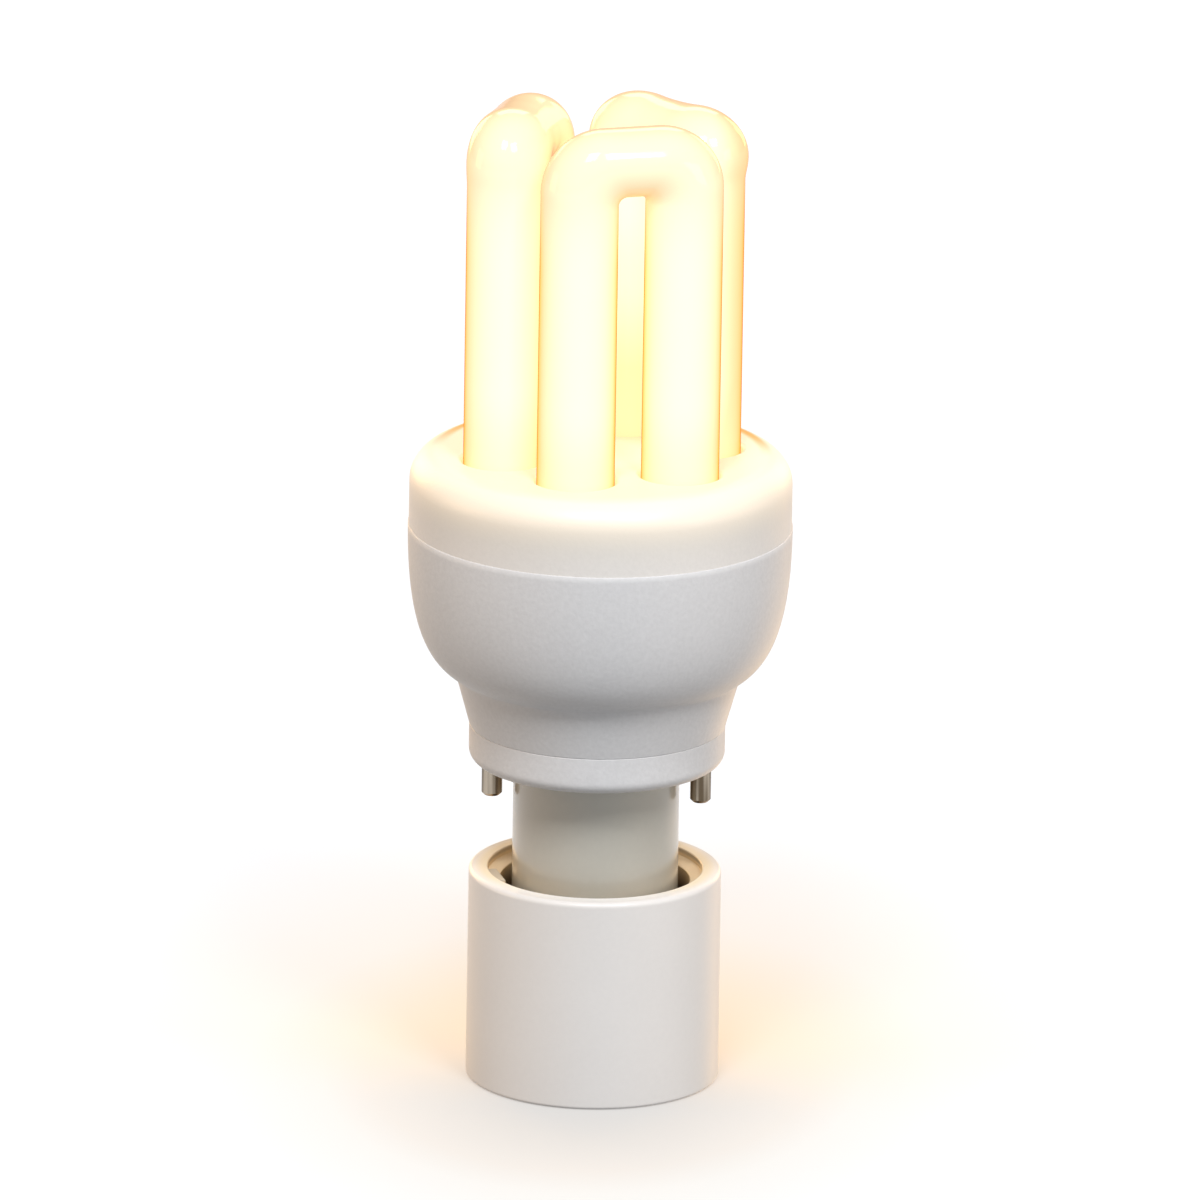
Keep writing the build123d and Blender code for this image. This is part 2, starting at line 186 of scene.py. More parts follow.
def rounded(
    corners: Sequence[tuple[float, float, float]], arc_steps: int = 8, hold: float = 0.2
) -> np.ndarray:
    """Closed outline whose corners become tangent arcs.

    The arc's centre lies on the corner's bisector, at the rounding over the sine of half the corner, and
    the arc turns evenly from one edge's foot to the other's. One more point on each edge, a share of the
    rounding away, holds the flat beside the arc.

    Args:
        corners: Radius, height and rounding of each corner, counter-clockwise.
        arc_steps: Points along one arc.
        hold: How far past the arc the holding points lie, in roundings.

    Returns:
        Array of points by 2.
    """
    table = np.array(corners, float)
    place, size = table[:, :2], table[:, 2:]
    back = unit(np.roll(place, 1, 0) - place)
    ahead = unit(np.roll(place, -1, 0) - place)
    half = 0.5 * np.arccos(np.clip(np.sum(back * ahead, 1, keepdims=True), -1, 1))
    centre = place + unit(back + ahead) * size / np.sin(half)
    first = place + back * size / np.tan(half)
    last = place + ahead * size / np.tan(half)
    turn = math.pi - 2 * half
    share = np.linspace(0, 1, arc_steps)
    from_first = np.sin((1 - share) * turn) / np.sin(turn)
    from_last = np.sin(share * turn) / np.sin(turn)
    arcs = centre[:, None] + from_first[..., None] * (first - centre)[:, None]
    arcs = arcs + from_last[..., None] * (last - centre)[:, None]
    before = (first + back * size * hold)[:, None]
    after = (last + ahead * size * hold)[:, None]
    outline = np.concatenate([before, arcs, after], 1).reshape(-1, 2)
    step = np.linalg.norm(outline - np.roll(outline, 1, 0), axis=1)
    return outline[step > TINY]


def lathe(outline: np.ndarray, steps: int = LATHE_STEPS, closed: bool = True) -> Surface:
    """Outline turned round the Z axis: (r cos a, r sin a, z) for each outline point and each angle a.

    Args:
        outline: Radii and heights, counter-clockwise round the material.
        steps: Angles in one turn.
        closed: Whether the last outline point joins the first.

    Returns:
        The turned surface.
    """
    angle = ring_angles(steps)
    radius, height = outline[:, :1], outline[:, 1:]
    grid = np.stack(
        [radius * np.cos(angle), radius * np.sin(angle), np.broadcast_to(height, (len(outline), steps))], -1
    )
    return grid_surface(grid, closed)


def pierced_plate(rim: np.ndarray, holes: Sequence[np.ndarray], height: float) -> Surface:
    """Flat plate inside a rim with round holes, as triangles between their points.

    Args:
        rim: Points by 2 round the outside.
        holes: Points by 2 round each hole.
        height: The plate's height.

    Returns:
        The plate, without the triangles that lie inside a hole.
    """
    loops = [rim, *holes]
    starts = np.cumsum([0] + [len(loop) for loop in loops])
    edges = [
        (int(start + k), int(start + (k + 1) % len(loop)))
        for start, loop in zip(starts, loops)
        for k in range(len(loop))
    ]
    flat = [Vector(point) for point in np.vstack(loops).tolist()]
    found, _, faces, *_ = delaunay_2d_cdt(flat, edges, [], 1, TINY, False)
    place = np.array([(v.x, v.y) for v in found])
    tris = np.array(faces, int)
    middle = place[tris].mean(1)
    keep = np.ones(len(tris), bool)
    for hole in holes:
        centre = hole.mean(0)
        keep &= np.linalg.norm(middle - centre, axis=1) > np.linalg.norm(hole[0] - centre)
    points = np.column_stack([place, np.full(len(place), height)])
    return Surface(points, np.zeros((0, 4), int), tris[keep])


def add_piece(name: str, surface: Surface, material: bpy.types.Material, slot: str, *nodes: str) -> None:
    """Puts a surface into the scene as a welded, smooth piece that stands for CAD nodes.

    Args:
        name: The piece's name.
        surface: Its points and faces in millimetres.
        material: Its finish.
        slot: The record's material slot; not used.
        nodes: The CAD nodes that it stands for.
    """
    mesh = bpy.data.meshes.new(name)
    faces = surface.quads.tolist() + surface.tris.tolist()
    mesh.from_pydata((surface.points * MM).tolist(), [], faces)
    work = bmesh.new()
    work.from_mesh(mesh)
    bmesh.ops.remove_doubles(work, verts=work.verts, dist=WELD * MM)
    bmesh.ops.recalc_face_normals(work, faces=work.faces)
    work.to_mesh(mesh)
    work.free()
    mesh.shade_smooth()
    mesh.materials.append(material)
    piece = bpy.data.objects.new(name, mesh)
    bpy.context.scene.collection.objects.link(piece)
    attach(piece, BODY)
    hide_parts(*nodes)
    LOG.info("%s: %d points, %d faces", name, len(mesh.vertices), len(mesh.polygons))


class Sock:
    """An output of a node tree. Arithmetic on it adds Math nodes."""

    def __init__(self, tree: "ShaderTree", socket: bpy.types.NodeSocket) -> None:
        """Keeps the socket and the tree that it belongs to."""
        self.tree = tree
        self.socket = socket

    def math(self, operation: str, left: "Sock | float", right: "Sock | float") -> "Sock":
        """One Math node on two values."""
        return self.tree.node("ShaderNodeMath", {"operation": operation}, {0: left, 1: right})

    def __add__(self, other: "Sock | float") -> "Sock":
        """Sum."""
        return self.math("ADD", self, other)

    def __radd__(self, other: float) -> "Sock":
        """Sum with a number on the left."""
        return self.math("ADD", other, self)

    def __sub__(self, other: "Sock | float") -> "Sock":
        """Difference."""
        return self.math("SUBTRACT", self, other)

    def __rsub__(self, other: float) -> "Sock":
        """A number less this."""
        return self.math("SUBTRACT", other, self)

    def __mul__(self, other: "Sock | float") -> "Sock":
        """Product."""
        return self.math("MULTIPLY", self, other)

    def __rmul__(self, other: float) -> "Sock":
        """Product with a number on the left."""
        return self.math("MULTIPLY", other, self)

    def hypot(self, other: "Sock") -> "Sock":
        """Square root of the sum of both squares."""
        return self.math("SQRT", self * self + other * other, 0.0)


class ShaderTree:
    """Builds the nodes of one material or of the world."""

    def __init__(self, owner: bpy.types.Material | bpy.types.World) -> None:
        """Empties the owner's node tree and keeps it.

        Args:
            owner: The material or the world.
        """
        owner.use_nodes = True
        self.nodes = owner.node_tree.nodes
        self.links = owner.node_tree.links
        self.nodes.clear()

    @staticmethod
    def find(sockets: Any, key: int | str) -> bpy.types.NodeSocket:
        """Finds a socket by number, by identifier or by name.

        Args:
            sockets: A node's inputs or outputs.
            key: The number, identifier or name.

        Returns:
            The socket.
        """
        if isinstance(key, int):
            return sockets[key]
        known = {socket.identifier: socket for socket in sockets}
        return known[key] if key in known else sockets[key]

    def node(
        self,
        kind: str,
        settings: Mapping[str, Any] | None = None,
        inputs: Mapping[int | str, Any] | None = None,
        output: int | str = 0,
    ) -> Sock:
        """Adds a node.

        Args:
            kind: The node's type.
            settings: Its own settings, set first. Stops are a ramp's places and colours.
            inputs: A value or a link for each named socket.
            output: The output that is wanted.

        Returns:
            That output.
        """
        made = self.nodes.new(kind)
        for key, value in (settings or {}).items():
            if key == "stops":
                self.set_stops(made.color_ramp, value)
            else:
                setattr(made, key, value)
        for key, value in (inputs or {}).items():
            socket = self.find(made.inputs, key)
            if isinstance(value, Sock):
                self.links.new(value.socket, socket)
            else:
                socket.default_value = value
        return Sock(self, self.find(made.outputs, output) if len(made.outputs) else None)

    @staticmethod
    def set_stops(ramp: bpy.types.ColorRamp, stops: Sequence[tuple[float, Colour]]) -> None:
        """Gives a colour ramp its stops.

        Args:
            ramp: The ramp, which starts with two stops.
            stops: Places and colours, in rising order.
        """
        while len(ramp.elements) < len(stops):
            ramp.elements.new(1.0)
        for element, (place, colour) in zip(ramp.elements, stops):
            element.position = place
            element.color = colour

    def place(self) -> Sock:
        """Object coordinates, in metres in the lamp's own frame."""
        return self.node("ShaderNodeTexCoord", output="Object")

    def axis(self, place: Sock, name: str) -> Sock:
        """One of the three coordinates, in millimetres."""
        return self.node("ShaderNodeSeparateXYZ", inputs={0: place}, output=name) * (1 / MM)

    def axes(self, place: Sock) -> tuple[Sock, Sock, Sock]:
        """All three coordinates, in millimetres."""
        return self.axis(place, "X"), self.axis(place, "Y"), self.axis(place, "Z")

    def noise(self, place: Sock, size: float, detail: float = 2.0) -> Sock:
        """Soft noise from 0 to 1 whose blobs are about this many millimetres."""
        inputs = {"Vector": place, "Scale": 1 / (size * MM), "Detail": detail}
        return self.node("ShaderNodeTexNoise", inputs=inputs, output="Fac")

    def bands(self, place: Sock, direction: str, pitch: float, wobble: float) -> Sock:
        """Wavy bands across an axis, from 0 to 1.

        Args:
            place: Object coordinates.
            direction: The axis that the bands follow each other along.
            pitch: About how far apart they are, in millimetres.
            wobble: How far they stray.

        Returns:
            The bands' height.
        """
        inputs = {"Vector": place, "Scale": 1 / (pitch * MM * BAND_RATIO), "Distortion": wobble}
        settings = {"wave_type": "BANDS", "bands_direction": direction}
        return self.node("ShaderNodeTexWave", settings, inputs, "Fac")

    def varied(self, noise: Sock, middle: float, depth: float) -> Sock:
        """A value that a noise moves up and down about its middle."""
        return (noise - NOISE_MIDDLE) * depth + middle

    def ramp(self, value: Sock, low: float, high: float) -> Sock:
        """Smooth ramp from 0 at low to 1 at high."""
        return self.node(
            "ShaderNodeMapRange",
            {"interpolation_type": "SMOOTHSTEP"},
            {"Value": value, "From Min": low, "From Max": high},
        )

    def blend(self, factor: Sock, start: "Colour | Sock", end: "Colour | Sock") -> Sock:
        """Colour between two others."""
        return self.node(
            "ShaderNodeMix",
            {"data_type": "RGBA"},
            {"Factor_Float": factor, "A_Color": start, "B_Color": end},
            "Result_Color",
        )

    def bump(self, height: Sock, distance: float) -> Sock:
        """Normal of a height from 0 to 1 that stands for this many millimetres."""
        inputs = {"Strength": 1.0, "Distance": distance * MM, "Height": height}
        return self.node("ShaderNodeBump", inputs=inputs)

    def surface(self, inputs: Mapping[str, Any]) -> None:
        """Principled surface with these socket values and links."""
        shader = self.node("ShaderNodeBsdfPrincipled", inputs=inputs)
        self.node("ShaderNodeOutputMaterial", inputs={"Surface": shader})


@dataclass(frozen=True)
class Finish:
    """A finish: the sockets of one Principled surface, worked out from Object coordinates."""

    def sockets(self, tree: ShaderTree, place: Sock) -> dict[str, Any]:
        """Works out the surface's sockets.

        Args:
            tree: The material's nodes.
            place: Object coordinates.

        Returns:
            A value or a link for each socket's name.
        """
        raise NotImplementedError

    def build(self, name: str) -> bpy.types.Material:
        """Makes the material.

        Args:
            name: The material's name.

        Returns:
            The new material.
        """
        material = bpy.data.materials.new(name)
        tree = ShaderTree(material)
        tree.surface(self.sockets(tree, tree.place()))
        return material


@dataclass(frozen=True)
class MouldedPlastic(Finish):
    """Moulded plastic: faint clouds of lightness, a fine mould grain in bump and gloss, and a polish."""

    colour: Colour
    roughness: float = 0.45
    cloud_size: float = 9.0
    cloud_depth: float = 0.025
    grain_size: float = 0.5
    grain_depth: float = 0.08
    grain_height: float = 0.022
    gloss_depth: float = 0.12
    coat: float = 0.0
    coat_roughness: float = 0.08

    def base(self, tree: ShaderTree, place: Sock) -> Sock:
        """The colour, lighter and darker by the depths of its clouds and its grain.

        Args:
            tree: The material's nodes.
            place: Object coordinates.

        Returns:
            The base colour.
        """
        depth = self.cloud_depth + self.grain_depth
        share = self.grain_depth / depth
        cloud, grain = tree.noise(place, self.cloud_size), tree.noise(place, self.grain_size)
        mottle = cloud * (1 - share) + grain * share
        return tree.blend(mottle, shaded(self.colour, 1 - depth), shaded(self.colour, 1 + depth))

    def sockets(self, tree: ShaderTree, place: Sock) -> dict[str, Any]:
        """Clouded colour, with gloss and bump that follow the mould grain.

        Args:
            tree: The material's nodes.
            place: Object coordinates.

        Returns:
            A value or a link for each socket's name.
        """
        grain = tree.noise(place, self.grain_size)
        return {
            "Base Color": self.base(tree, place),
            "Roughness": tree.varied(grain, self.roughness, self.gloss_depth),
            "Normal": tree.bump(grain, self.grain_height),
            "Coat Weight": self.coat,
            "Coat Roughness": self.coat_roughness,
        }


@dataclass(frozen=True)
class CupPlastic(MouldedPlastic):
    """Moulded plastic that is white outside, with painted warm light and painted shade within a radius.

    The inside is painted tan by warm light, with painted shade deep down and along the top of the mouth's
    wall. The rim is painted cream by warm light from behind, and whiter where the front light falls. Depths
    are millimetres under the mouth, and blurs are half the width of the border between two colours.
    """

    # Painted light and shade: the inside colour is warm light painted on the inner wall, the deep and upper
    # colours are painted shade deep down and along the top of the mouth's wall, the rim colour is warm light
    # painted on from behind, and the front rim colour is the rim where the front light falls.
    inside: Colour = (0.82, 0.66, 0.44, 1.0)
    deep: Colour = (0.26, 0.18, 0.10, 1.0)
    upper: Colour = (0.50, 0.42, 0.32, 1.0)
    rim: Colour = (0.88, 0.77, 0.58, 1.0)
    front_lit_rim: Colour = (0.94, 0.93, 0.91, 1.0)
    front_low: float = -11.5
    front_high: float = -5.0
    inside_radius: float = 12.4
    inside_blur: float = 0.15
    rim_radius: float = 13.5
    rim_blur: float = 0.8
    mouth_z: float = 24.8
    deep_depth: float = 4.0
    inside_depth: float = 1.0
    upper_depth: float = 0.7
    upper_end: float = 0.3

    def base(self, tree: ShaderTree, place: Sock) -> Sock:
        """The clouded colour outside, then the rim's painted warm light, and the inside's painted light and
        shade towards the axis.

        Args:
            tree: The material's nodes.
            place: Object coordinates.

        Returns:
            The base colour.
        """
        along, away, height = tree.axes(place)
        radius = along.hypot(away)
        top = self.mouth_z
        # Painted shade deep in the throat, warm light painted on the wall above it, and painted shade along
        # the top of the mouth's wall.
        lower = tree.ramp(height, top - self.deep_depth, top - self.inside_depth)
        wall = tree.blend(lower, self.deep, self.inside)
        wall = tree.blend(tree.ramp(height, top - self.upper_depth, top - self.upper_end), wall, self.upper)
        # Warm light painted on the rim from behind, whiter where the front light falls.
        rim = tree.blend(tree.ramp(away, self.front_low, self.front_high), self.front_lit_rim, self.rim)
        edge = tree.ramp(radius, self.inside_radius - self.inside_blur, self.inside_radius + self.inside_blur)
        wall = tree.blend(edge, wall, rim)
        outer = tree.ramp(radius, self.rim_radius - self.rim_blur, self.rim_radius + self.rim_blur)
        return tree.blend(outer, wall, super().base(tree, place))


@dataclass(frozen=True)
class GlowingCover(Finish):
    """White cover plastic with the tubes' light painted on it as a glow, and a line of painted amber light
    along the plate's back edge.

    The painted glow fades with height, and is brighter between the tubes. The wall is painted warmer towards
    the plate, and the flat plate is painted darker so that the shoulder's highlight shows. Lengths are
    heights, distances from the axis and places along Y, in millimetres.
    """

    colour: Colour
    # The lit colour is warm light from the tubes, painted on the wall near the plate.
    lit_colour: Colour
    # The plate colour is painted shade that darkens the flat plate so that the shoulder's highlight shows.
    painted_plate_shade: Colour
    # The edge colour and the edge glow are a line of painted amber light along the plate's back edge.
    painted_edge_light: Colour
    # The glow and the middle glow are the tubes' light, painted on the cover as emission.
    glow: Colour
    middle_glow: Colour
    painted_edge_glow: Colour
    roughness: float = 0.4
    gloss_depth: float = 0.1
    glow_strength: float = 0.60
    glow_low: float = 68.3
    glow_high: float = 74.6
    warm_low: float = 66.0
    warm_high: float = 72.0
    plate_low: float = 73.9
    plate_high: float = 74.33
    middle_low: float = 4.0
    middle_high: float = 9.0
    edge_low: float = 17.9
    edge_high: float = 18.7
    edge_width: float = 1.1
    back_low: float = 0.0
    back_high: float = 10.0
    grain_size: float = 0.5
    grain_height: float = 0.018
    cloud_size: float = 9.0
    cloud_share: float = 0.3
    mottle_depth: float = 0.06

    def sockets(self, tree: ShaderTree, place: Sock) -> dict[str, Any]:
        """Mottled white with painted warm light towards the plate, painted shade on the flat plate, a painted
        amber edge line, and the painted glow under it.

        Args:
            tree: The material's nodes.
            place: Object coordinates.

        Returns:
            A value or a link for each socket's name.
        """
        grain, cloud = tree.noise(place, self.grain_size), tree.noise(place, self.cloud_size)
        along, away, height = tree.axes(place)
        radius = along.hypot(away)
        # Painted glow of the tubes' light, rising towards the plate.
        lit = tree.ramp(height, self.glow_low, self.glow_high)
        # Painted warm light from the tubes on the wall, rising towards the plate.
        warmth = tree.ramp(height, self.warm_low, self.warm_high)
        top = tree.ramp(height, self.plate_low, self.plate_high)
        outer = tree.ramp(radius, self.middle_low, self.middle_high)
        # Band of painted amber light along the plate's back edge.
        past = tree.ramp(radius, self.edge_low + self.edge_width, self.edge_high + self.edge_width)
        edge = tree.ramp(radius, self.edge_low, self.edge_high) - past
        edge = edge * lit * tree.ramp(away, self.back_low, self.back_high)
        mottle = cloud * self.cloud_share + grain * (1 - self.cloud_share)
        dark, light = shaded(self.colour, 1 - self.mottle_depth), shaded(self.colour, 1 + self.mottle_depth)
        wall = tree.blend(warmth, tree.blend(mottle, dark, light), self.lit_colour)
        # Painted shade on the flat plate, so that the shoulder's highlight shows.
        white = tree.blend(top, wall, self.painted_plate_shade)
        # The tubes' light painted on as a glow, brighter near the axis.
        glow = tree.blend(edge, tree.blend(outer, self.middle_glow, self.glow), self.painted_edge_glow)
        return {
            "Base Color": tree.blend(edge, white, self.painted_edge_light),
            "Roughness": tree.varied(grain, self.roughness, self.gloss_depth),
            "Normal": tree.bump(grain, self.grain_height),
            "Emission Color": tree.blend(lit, BLACK, glow),
            "Emission Strength": self.glow_strength,
        }


@dataclass(frozen=True)
class LitGlass(Finish):
    """Lit glass tube: glowing phosphor under a thin amber-tinted layer, deeper where it is seen aslant.

    Painted shade makes the phosphor and its glow darker and warmer on one side of the lamp, at the feet and
    low down behind; the glow is dimmer in the bends.
    Lengths are heights and distances along a side's direction, in millimetres.
    """

    phosphor: Colour
    glow: Colour
    bend_glow: Colour
    tint: Colour
    # Painted shade: darker, warmer phosphor and glow on one side, at the feet and low down behind.
    shaded_phosphor: Colour
    shaded_glow: Colour
    shaded_side: float = 17.0
    shaded_side_low: float = 11.5
    shaded_side_high: float = 15.0
    foot_low: float = 74.5
    foot_high: float = 84.0
    foot_shade: float = 0.55
    behind_low: float = 2.0
    behind_high: float = 7.0
    behind_foot: float = 81.0
    behind_top: float = 93.0
    strength: float = 1.0
    layer_index: float = 1.0
    layer_roughness: float = 0.03
    roughness: float = 0.09
    gloss_depth: float = 0.03
    powder_size: float = 2.5
    powder_detail: float = 3.0
    powder_depth: float = 0.03
    fade_low: float = 98.0
    fade_high: float = 115.0
    bend_layer: float = 0.5

    def painted_shade(self, tree: ShaderTree, place: Sock) -> Sock:
        """How much painted shade the phosphor gets: the sum of the shaded side, the feet and the lower part
        behind.

        Args:
            tree: The material's nodes.
            place: Object coordinates.

        Returns:
            The painted shade, from 0 upwards, which the blends hold at 1.
        """
        along, away, height = tree.axes(place)
        # Painted shade on one side of the lamp, at the feet and on the lower part behind.
        side = heading(self.shaded_side)
        across = along * float(side[0]) + away * float(side[1])
        foot = (1.0 - tree.ramp(height, self.foot_low, self.foot_high)) * self.foot_shade
        low = 1.0 - tree.ramp(height, self.behind_foot, self.behind_top)
        behind = tree.ramp(away, self.behind_low, self.behind_high) * low
        return tree.ramp(across, self.shaded_side_low, self.shaded_side_high) + foot + behind

    def sockets(self, tree: ShaderTree, place: Sock) -> dict[str, Any]:
        """Powdery phosphor with its glow, darker and warmer where shade is painted, under the tinted layer,
        which is thinner in the bends.

        Args:
            tree: The material's nodes.
            place: Object coordinates.

        Returns:
            A value or a link for each socket's name.
        """
        bend = tree.ramp(tree.axis(place, "Z"), self.fade_low, self.fade_high)
        powder = tree.noise(place, self.powder_size, self.powder_detail)
        # Painted shade on one side, at the feet and low down behind.
        shade_amount = self.painted_shade(tree, place)
        unshaded_phosphor = tree.blend(powder, shaded(self.phosphor, 1 - self.powder_depth), self.phosphor)
        leg_glow = tree.blend(shade_amount, self.glow, self.shaded_glow)
        return {
            "Base Color": tree.blend(shade_amount, unshaded_phosphor, self.shaded_phosphor),
            "Roughness": powder * self.gloss_depth + self.roughness,
            "Emission Color": tree.blend(bend, leg_glow, self.bend_glow),
            "Emission Strength": self.strength,
            "Coat Weight": 1.0 - bend * (1.0 - self.bend_layer),
            "Coat Roughness": self.layer_roughness,
            "Coat IOR": self.layer_index,
            "Coat Tint": self.tint,
        }


@dataclass(frozen=True)
class TurnedMetal(Finish):
    """Plated metal with fine turning rings along its length and streaks of tarnish drawn along it."""

    colour: Colour
    tarnish: Colour
    roughness: float = 0.16
    gloss_depth: float = 0.08
    ring_pitch: float = 0.16
    ring_height: float = 0.002
    ring_wobble: float = 0.6
    streak: float = 0.9
    streak_detail: float = 1.0
    streak_low: float = 0.35
    streak_high: float = 0.65
    draw: float = 0.05

    def sockets(self, tree: ShaderTree, place: Sock) -> dict[str, Any]:
        """Bright metal and tarnish, with the turning rings in bump.

        Args:
            tree: The material's nodes.
            place: Object coordinates.

        Returns:
            A value or a link for each socket's name.
        """
        drawn = tree.node("ShaderNodeMapping", inputs={"Vector": place, "Scale": (1.0, 1.0, self.draw)})
        streaks = tree.noise(drawn, self.streak, self.streak_detail)
        stain = tree.ramp(streaks, self.streak_low, self.streak_high)
        rings = tree.bands(place, "Z", self.ring_pitch, self.ring_wobble)
        return {
            "Base Color": tree.blend(stain, self.colour, self.tarnish),
            "Metallic": 1.0,
            "Roughness": stain * self.gloss_depth + self.roughness,
            "Normal": tree.bump(rings, self.ring_height),
        }


@dataclass(frozen=True)
class WoundWire(Finish):
    """Lacquered wire laid turn by turn: rounded ridges across the winding."""

    colour: Colour
    groove: float = 0.55
    metallic: float = 0.8
    roughness: float = 0.45
    gloss_depth: float = 0.15
    pitch: float = 0.3
    ridge: float = 0.08
    wobble: float = 0.8

    def sockets(self, tree: ShaderTree, place: Sock) -> dict[str, Any]:
        """Bright ridges and darker, duller grooves.

        Args:
            tree: The material's nodes.
            place: Object coordinates.

        Returns:
            A value or a link for each socket's name.
        """
        turns = tree.bands(place, "X", self.pitch, self.wobble)
        return {
            "Base Color": tree.blend(turns, shaded(self.colour, self.groove), self.colour),
            "Metallic": self.metallic,
            "Roughness": self.roughness - turns * self.gloss_depth,
            "Normal": tree.bump(turns, self.ridge),
        }


@dataclass(frozen=True)
class SpeckledBody(Finish):
    """Pressed or poured grainy stuff, such as ferrite, cement or laminate: speckles in colour and height."""

    colour: Colour
    speckle: Colour
    grain_size: float = 0.5
    grain_height: float = 0.03
    grain_detail: float = 4.0
    speckle_low: float = 0.45
    speckle_high: float = 0.7
    roughness: float = 0.7
    gloss_depth: float = 0.12

    def sockets(self, tree: ShaderTree, place: Sock) -> dict[str, Any]:
        """Two colours, gloss and bump that follow one grain.

        Args:
            tree: The material's nodes.
            place: Object coordinates.

        Returns:
            A value or a link for each socket's name.
        """
        grain = tree.noise(place, self.grain_size, self.grain_detail)
        spots = tree.ramp(grain, self.speckle_low, self.speckle_high)
        return {
            "Base Color": tree.blend(spots, self.colour, self.speckle),
            "Roughness": self.roughness - spots * self.gloss_depth,
            "Normal": tree.bump(grain, self.grain_height),
        }


FINISHES: dict[str, Finish] = {
    "lit_glass": LitGlass(
        phosphor=(0.70, 0.69, 0.66, 1.0),
        glow=(0.95, 0.84, 0.80, 1.0),
        bend_glow=(0.46, 0.44, 0.22, 1.0),
        tint=(0.965, 0.83, 0.64, 1.0),
        shaded_phosphor=(0.62, 0.52, 0.40, 1.0),
        shaded_glow=(0.95, 0.73, 0.56, 1.0),
    ),
    "cover_plastic": GlowingCover(
        colour=srgb(235, 231, 227),
        lit_colour=srgb(234, 228, 217),
        painted_plate_shade=(0.71, 0.66, 0.60, 1.0),
        painted_edge_light=(0.62, 0.34, 0.06, 1.0),
        glow=(0.50, 0.36, 0.21, 1.0),
        middle_glow=(0.83, 0.74, 0.58, 1.0),
        painted_edge_glow=(0.42, 0.20, 0.03, 1.0),
    ),
    "housing_plastic": MouldedPlastic(colour=srgb(221, 221, 223), roughness=0.5),
    "post_plastic": MouldedPlastic(
        colour=srgb(186, 183, 173), roughness=0.3, grain_size=0.8, grain_depth=0.03, grain_height=0.002,
        gloss_depth=0.05, coat=0.5,
    ),
    "pin_nickel": TurnedMetal(colour=srgb(184, 172, 156), tarnish=srgb(100, 87, 71)),
    "cup_plastic": CupPlastic(
        colour=srgb(238, 235, 233), roughness=0.42, grain_size=0.6, grain_depth=0.02, grain_height=0.002,
        gloss_depth=0.06, coat=0.1,
    ),
    "cement": SpeckledBody(colour=srgb(226, 222, 208), speckle=srgb(200, 194, 176)),
    "tinned_wire": TurnedMetal(colour=srgb(205, 205, 205), tarnish=srgb(160, 158, 150)),
    "wire_sleeve": MouldedPlastic(colour=srgb(224, 218, 206), roughness=0.55),
    "board_laminate": SpeckledBody(colour=srgb(188, 156, 106), speckle=srgb(164, 128, 80), grain_size=1.2),
    "can_sleeve": MouldedPlastic(colour=srgb(46, 52, 68), roughness=0.3, coat=0.4),
    "film_dip": MouldedPlastic(colour=srgb(150, 66, 34), roughness=0.28, coat=0.6),
    "ferrite": SpeckledBody(colour=srgb(70, 70, 74), speckle=srgb(92, 92, 96), grain_size=0.25),
    "bobbin_plastic": MouldedPlastic(colour=srgb(58, 58, 60), roughness=0.5),
    "copper_winding": WoundWire(colour=srgb(192, 110, 62)),
    "black_epoxy": MouldedPlastic(colour=srgb(34, 34, 36), roughness=0.55),
    "resistor_lacquer": MouldedPlastic(colour=srgb(150, 168, 142), roughness=0.3, coat=0.5),
    "thermistor_disc": SpeckledBody(colour=srgb(92, 104, 62), speckle=srgb(70, 82, 46), grain_size=0.4),
}


@dataclass(frozen=True)
class BendShape:
    """How one U strays from the drawn one: millimetres up and out at its top, and along its own plane."""

    lift: float = 0.0
    tilt: float = 0.0
    dip: float = 0.0
    bulge: float = 0.0
    bulge_at: float = 0.5
    slide: float = 0.0


class Bend(Enum):
    """The three U's in the order of their turn round the axis."""

    FRONT = BendShape(slide=0.45)
    RIGHT_BACK = BendShape(lift=-1.1, tilt=-0.1, dip=0.25, bulge=0.13, bulge_at=0.36)
    LEFT = BendShape(lift=-0.45, tilt=0.25, bulge=0.06, bulge_at=0.45)


